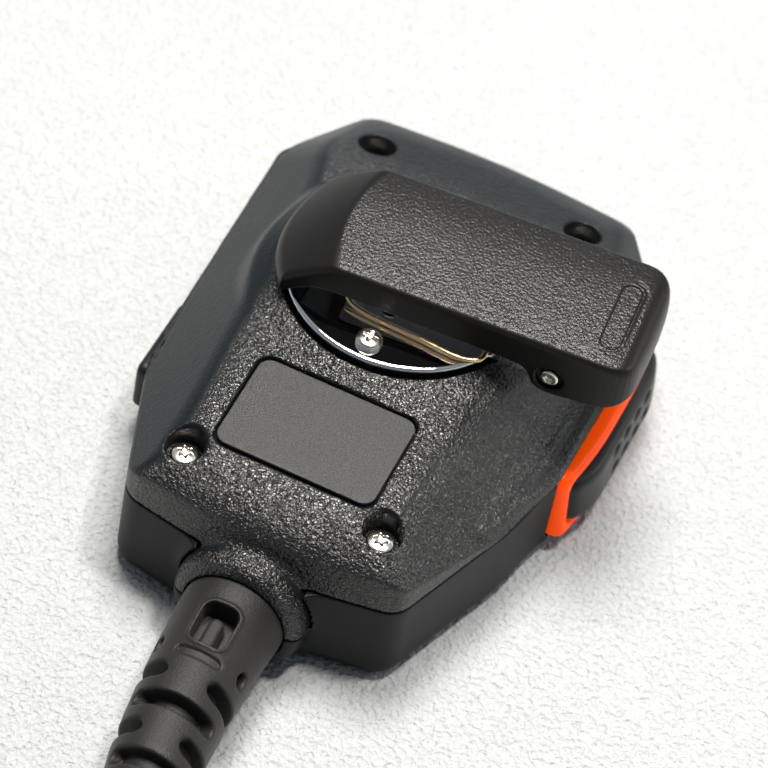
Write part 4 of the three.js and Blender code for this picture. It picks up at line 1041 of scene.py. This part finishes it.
def build_clip_base():
    """Plated disc with a tongue and two ears for the hinge pin."""
    low_z = DISC_TOP - 1
    x, y, z, place = lattice((-18.3, -18.3, 28.5), (29.6, 18.3, 35), PART_STEP)
    slab = np.maximum(z - DISC_TOP, low_z - z)
    disc = smooth_max(away(x, y) - DISC_R, slab, 0.7)
    arm = smooth_max(rounded_box(x - 19, y, 9.8, 7.8, 1), slab, 0.3)
    ear = [(15.6, low_z, 0.3), (28.6, low_z, 0.5), (28.6, 34, 2.2), (22, 34.2, 2.2), (17, DISC_TOP + 1.6, 1)]
    ears = smooth_max(outline(x, z, rounded_outline(ear)), np.abs(np.abs(y) - 7.85) - 0.45, 0.25)
    field = smooth_min(smooth_min(disc, arm, 0.2), ears, 0.6)
    for hole_x, hole_y, radius in ((-0.8, -14.1, 1.15), (0.8, 14.1, 1.15), (0, -7.8, 0.9)):
        field = cut(field, away(x, y, (hole_x, hole_y)) - radius, 0.15)
    field = cut(field, away(x, z, (PIN_X, PIN_Z)) - 1.05)
    net_piece("clip_plate", field, place, "swivel", "chrome", "clip_base", **ON_CLIP)


def build_rivet():
    centre, lowest, highest = middle("base_rivet")
    x, y, z, place = lattice((-1.4, -1.4, lowest - 0.2), (1.4, 1.4, highest + 0.3), 0.07)
    radial = away(x, y)
    dome_r = 1.5
    head = smooth_max(away(radial, z, (0, highest - dome_r)) - dome_r, radial - 1.1, 0.2)
    head = smooth_max(head, DISC_TOP + 0.02 - z, 0.1)
    shank = np.maximum(radial - 0.8, np.maximum(z - highest + 0.3, lowest - z))
    field = np.minimum(head, shank)
    net_piece("plate_rivet", field, place, "swivel", "nickel", "base_rivet", shift=(*centre, 0))


def build_pin():
    """Hinge pin with a socketed head in the near side of the lever."""
    x, y, z, place = lattice((PIN_X - 1.7, -11.3, PIN_Z - 1.7), (PIN_X + 1.7, 11.3, PIN_Z + 1.7), 0.09)
    around = away(x, z, (PIN_X, PIN_Z))
    angle = np.arctan2(z - PIN_Z, x - PIN_X)
    rod = np.maximum(smooth_max(around - 1.0, y - 10.8, 0.3), -10.5 - y)
    head = np.maximum(smooth_max(around - 1.38, -10.92 - y, 0.4), y + 10.2)
    socket = around * np.cos((angle % (math.pi / 3)) - math.pi / 6) - 0.62
    field = cut(np.minimum(rod, head), np.maximum(socket, y + 10.5), 0.12)
    net_piece("hinge_pin", field, place, "swivel", "nickel", "clip_pin", **ON_CLIP)


def build_spring():
    """Torsion spring: a coil around the pin, a short leg under the lever and a long leg on the disc."""
    wire_r = 0.4
    coil_r = 1.0 + wire_r + 0.2
    low = DISC_TOP + wire_r + 0.24
    path = [(-6.4, -8.6, low + 0.74), (-5.2, -9.3, low + 0.24), (-3, -9.9, low), (5, -10.8, low)]
    path += [(12.4, -11.6, low), (14.6, -10.6, low + 0.04), (15, -8.4, low + 0.14), (15.4, -6.2, low + 0.14)]
    path += [(17.4, -4.6, low + 0.04), (21.4, -4.2, low + 0.04)]
    coil_y, step_y, steps = -4, 0.22, 26  # eight steps to a turn
    for i in range(steps + 1):
        angle = i * math.pi / 4 - math.pi / 2
        path.append((PIN_X + coil_r * math.cos(angle), coil_y + i * step_y, PIN_Z + coil_r * math.sin(angle)))
    last = coil_y + steps * step_y + 0.2
    path += [(PIN_X - 1.2, last, PIN_Z + 2.4), (PIN_X - 6, last, PIN_Z + 3.1)]
    line = curve_through(path, 7)
    radii = np.full(len(line), wire_r)
    radii[0] = radii[-1] = wire_r * 0.7
    mesh = make_mesh("torsion_spring", *swept(line @ ON_CLIP["turn"].T + np.array(ON_CLIP["shift"]), radii))
    add_piece("torsion_spring", mesh, "swivel", "spring_steel", ["clip_spring"])


PIN = np.array(JOINTS["clip_hinge"]["pos_m"]) / MM
PIN_X = float(np.hypot(PIN[0] - SWIVEL[0], PIN[1] - SWIVEL[1]))
PIN_Z = float(PIN[2])
LEVER = {"top": 39.0, "half": 11.0, "nose": 19.2, "end": 36.9, "low": 33.0, "tab_low": 29.3, "wall": 1.5}
CROWN_DROP = 0.55  # how far the lever's top falls off towards its sides
BOW_X, BOW_R = 14.6, 24.4  # the line that the nose facet is turned about, and where the facet starts
PILL = {"x": 31.2, "y": -1, "half": (1.45, 6.4)}  # the thumb tab's shallow groove


def lever_plan(inset):
    half, radius, end = LEVER["half"] - inset, LEVER["nose"] - inset, LEVER["end"] - inset
    angle = math.asin(half / radius)
    corner = 5.2 - inset / 2
    arc = [math.pi - angle + 2 * angle * i / 24 for i in range(25)]
    points = [(radius * math.cos(a), radius * math.sin(a)) for a in arc]
    points.append((end - corner, -half))
    points += bend(points[-1], (end - 0.4, -half), (end - 0.3, -half + corner))
    points += bend(points[-1], (end + 0.3, 0), (end - 0.3, half - corner))
    points += bend(points[-1], (end - 0.4, half), (end - corner, half))
    return points


def lever_under():
    """Side outline of the lever below its top: the lower edge with its beak and its tab."""
    nose, end, low, tab = LEVER["nose"], LEVER["end"], LEVER["low"], LEVER["tab_low"]
    points = [(-nose - 2, DISC_TOP + 0.4), (-14.8, DISC_TOP + 0.4)]
    points += bend(points[-1], (-12, low + 0.2), (-8.6, low + 0.6))
    points.append((19.2, low))
    points += bend(points[-1], (21.4, low - 0.1), (22, low - 2))
    points += bend(points[-1], (22.4, tab + 0.1), (25, tab))
    points += [(31.5, tab + 0.6)]
    points += bend(points[-1], (34.6, tab + 1.0), (end, tab + 2.6), 6)
    points += [(end + 2, tab + 4), (end + 2, 50), (-nose - 2, 50)]
    return points


def build_lever():
    x, y, z, place = lattice((-20.2, -12, 28.4), (38, 12, 40), PART_STEP)
    top, end, half = LEVER["top"], LEVER["end"], LEVER["half"]
    crown = z - (top - CROWN_DROP * (y / half) ** 2)
    run = np.clip(away(x, y, (BOW_X, 0)) - BOW_R, 0, 12)
    nose = (z - (top + 0.1 - 0.62 * run - 0.018 * run**2)) * 0.8
    roll = smooth_max(x - end - 0.1, 0.5 * (x - end + 1.2) + 0.866 * (z - top + 1.0), 3.4)
    roof = smooth_max(smooth_max(crown, nose, 0.5), roll, 1.6)
    body = smooth_max(outline(x, y, lever_plan(0)), roof, 1.0)
    body = smooth_max(body, outline(x, z, lever_under()), 0.4)
    inner = np.maximum(outline(x, y, lever_plan(LEVER["wall"])), roof + LEVER["wall"])
    body = cut(body, np.maximum(inner, -13 - x))
    pin = away(x, z, (PIN_X, PIN_Z))
    body = cut(body, pin - 1.15)
    body = cut(body, np.maximum(pin - 2.0, y + half - 0.9), 0.35)
    body = cut(body, np.maximum(pin - 1.6, half - 0.5 - y), 0.3)
    pill = rounded_box(x - PILL["x"], y - PILL["y"], *PILL["half"], 1.4)
    body = cut(body, np.maximum(pill, top - 0.5 - z), 0.25)
    rim = np.maximum(np.abs(pill - 0.85) - 0.24, np.abs(z - top + 0.1) - 0.35)
    body = cut(body, np.maximum(rim, PILL["x"] - x), 0.2)

    def masks(points, normals):
        px, py, pz = points.T
        bow = np.hypot(px - BOW_X, py)
        up = ramp01(normals[:, 2], 0.9, 0.97) * ramp01(pz, 37.4, 37.8)
        edge = ramp01(LEVER["half"] - np.abs(py), 0.15, 0.5)
        grain = up * edge * (1 - ramp01(bow, BOW_R - 0.1, BOW_R + 0.5)) * (1 - ramp01(px, 34.0, 34.8))
        return {"grain": grain * (1 - 0.5 * ramp01(py, -4, 9))}

    net_piece("clip_cover", body, place, "lever", "lever_plastic", "clip_lever", masks, **ON_CLIP)


# ---- carried-over CAD nodes


def dress_cad_nodes():
    """Every CAD node that stays gets its slot's material, and small bevels."""
    slots = {row["node"]: row["material_slot"] for row in frame["record"]["subparts"]}
    for name, node in frame["nodes"].items():
        if node.hide_render:
            continue
        node.data.materials.clear()
        node.data.materials.append(LOOKS[slots[name]])
        edge = node.modifiers.new("edge", "BEVEL")
        edge.width = 0.08 * MM
        edge.segments = 2
        edge.limit_method = "ANGLE"
        edge.angle_limit = math.radians(40)


# ---- stage


def build_stage():
    floor_look = Look("floor_paper")
    slow = floor_look.noise(0.02, 2.0, 0.5)
    pebble = floor_look.cells(1.1, "SMOOTH_F1", 0.4, 0.9)
    fibre = floor_look.weighted((pebble, 1.0), (floor_look.noise(1.3, 4.0, 0.6, 0.4), 1.0))
    floor_look.set("Base Color", floor_look.mix(slow, (0.462, 0.482, 0.490), (0.500, 0.520, 0.527)))
    floor_look.set("Roughness", 0.75)
    floor_look.bump(fibre, 0.55)
    half = 2600
    corners = [(-half, -half, 0), (half, -half, 0), (half, half, 0), (-half, half, 0)]
    mesh = make_mesh("floor", corners, [[0, 1, 2, 3]])
    mesh.materials.append(floor_look.material)
    floor = add_object("floor", mesh)
    floor.location.z = -0.02 * MM


def area_light(name, place, target, size, power, colour):
    light = bpy.data.lights.new(name, "AREA")
    light.shape = "RECTANGLE"
    light.size, light.size_y = size
    light.energy = power
    light.color = colour
    holder = add_object(name, light)
    holder.location = place
    direction = Vector(target) - Vector(place)
    holder.rotation_euler = direction.to_track_quat("-Z", "Y").to_euler()


def build_light():
    """A dome that is dim and cool near the horizon and brighter and warmer overhead, and a softbox above."""
    world = bpy.data.worlds.new("studio")
    bpy.context.scene.world = world
    world.use_nodes = True
    tree = world.node_tree
    tree.nodes.clear()
    output = tree.nodes.new("ShaderNodeOutputWorld")
    background = tree.nodes.new("ShaderNodeBackground")
    coordinates = tree.nodes.new("ShaderNodeTexCoord")
    split = tree.nodes.new("ShaderNodeSeparateXYZ")
    ramp = tree.nodes.new("ShaderNodeValToRGB")
    tree.links.new(coordinates.outputs["Generated"], split.inputs[0])
    tree.links.new(split.outputs["Z"], ramp.inputs[0])
    tree.links.new(ramp.outputs[0], background.inputs[0])
    tree.links.new(background.outputs[0], output.inputs[0])
    stops = [
        (0.0, (0.38, 0.48, 0.56)),
        (0.35, (0.32, 0.39, 0.45)),
        (0.70, (0.36, 0.40, 0.43)),
        (1.0, (0.40, 0.41, 0.42)),
    ]
    while len(ramp.color_ramp.elements) < len(stops):
        ramp.color_ramp.elements.new(0.5)
    for element, (place, colour) in zip(ramp.color_ramp.elements, stops):
        element.position = place
        element.color = (*colour, 1)
    front = tree.nodes.new("ShaderNodeMapRange")  # the room is dimmer behind the camera
    tree.links.new(split.outputs["Y"], front.inputs["Value"])
    for key, value in (("From Min", -1), ("From Max", 1), ("To Min", 0.35), ("To Max", 1.05)):
        front.inputs[key].default_value = value
    tree.links.new(front.outputs[0], background.inputs["Strength"])
    area_light("softbox", (-0.08, 0.13, 0.67), (0, 0, 0.02), (0.24, 0.26), 7.4, (1.0, 0.95, 0.89))
    area_light("sparkle", (0.14, 0.02, 0.66), (0, 0, 0.02), (0.07, 0.07), 3.0, (1.0, 0.95, 0.88))
    area_light("side", (0.52, 0.36, 0.26), (0.02, -0.02, 0.02), (0.2, 0.2), 0.8, (1.0, 0.93, 0.85))


def build_camera():
    """Seen from above the cord end, turned so that the cord runs to the lower left."""
    up = Vector((-0.396126, 0.65038332, 0.64814021))
    back = Vector((0.17707751, -0.63852086, 0.74895572))
    aim, distance = Vector((0.0494, 2.5175, 7.4625)), 630
    data = bpy.data.cameras.new("camera")
    data.lens, data.sensor_width = 201.5625, 36
    data.clip_start, data.clip_end = 0.01, 20
    data.dof.use_dof = True
    focus = add_object("focus", None)
    focus.location = Vector((0, -44, 19)) * MM
    data.dof.focus_object = focus
    data.dof.aperture_fstop = 36
    camera = add_object("camera", data)
    matrix = Matrix((up.cross(back), up, back)).transposed().to_4x4()
    matrix.translation = (aim + back * distance) * MM
    camera.matrix_world = matrix
    bpy.context.scene.camera = camera


build_rear_case()
build_front_case()
build_label()
for screw in SCREWS:
    build_screw(f"{screw}_lobed", screw, "housing", 2.15, HEAD_HEIGHT, 1.2, 6, 0.85, 12.0)
for screw in ("base_screw_1", "base_screw_2"):
    build_screw(f"{screw}_pan", screw, "swivel", 1.95, 1.2, 1.0, 4, 0.6, 27.4)
build_bezel()
build_talk_key()
build_jack_cover()
build_boot()
build_cord()
build_wires()
build_clip_base()
build_rivet()
build_pin()
build_spring()
build_lever()
dress_cad_nodes()
build_stage()
build_light()
build_camera()

bpy.context.scene.view_settings.view_transform = "Standard"
bpy.context.scene.view_settings.look = "None"
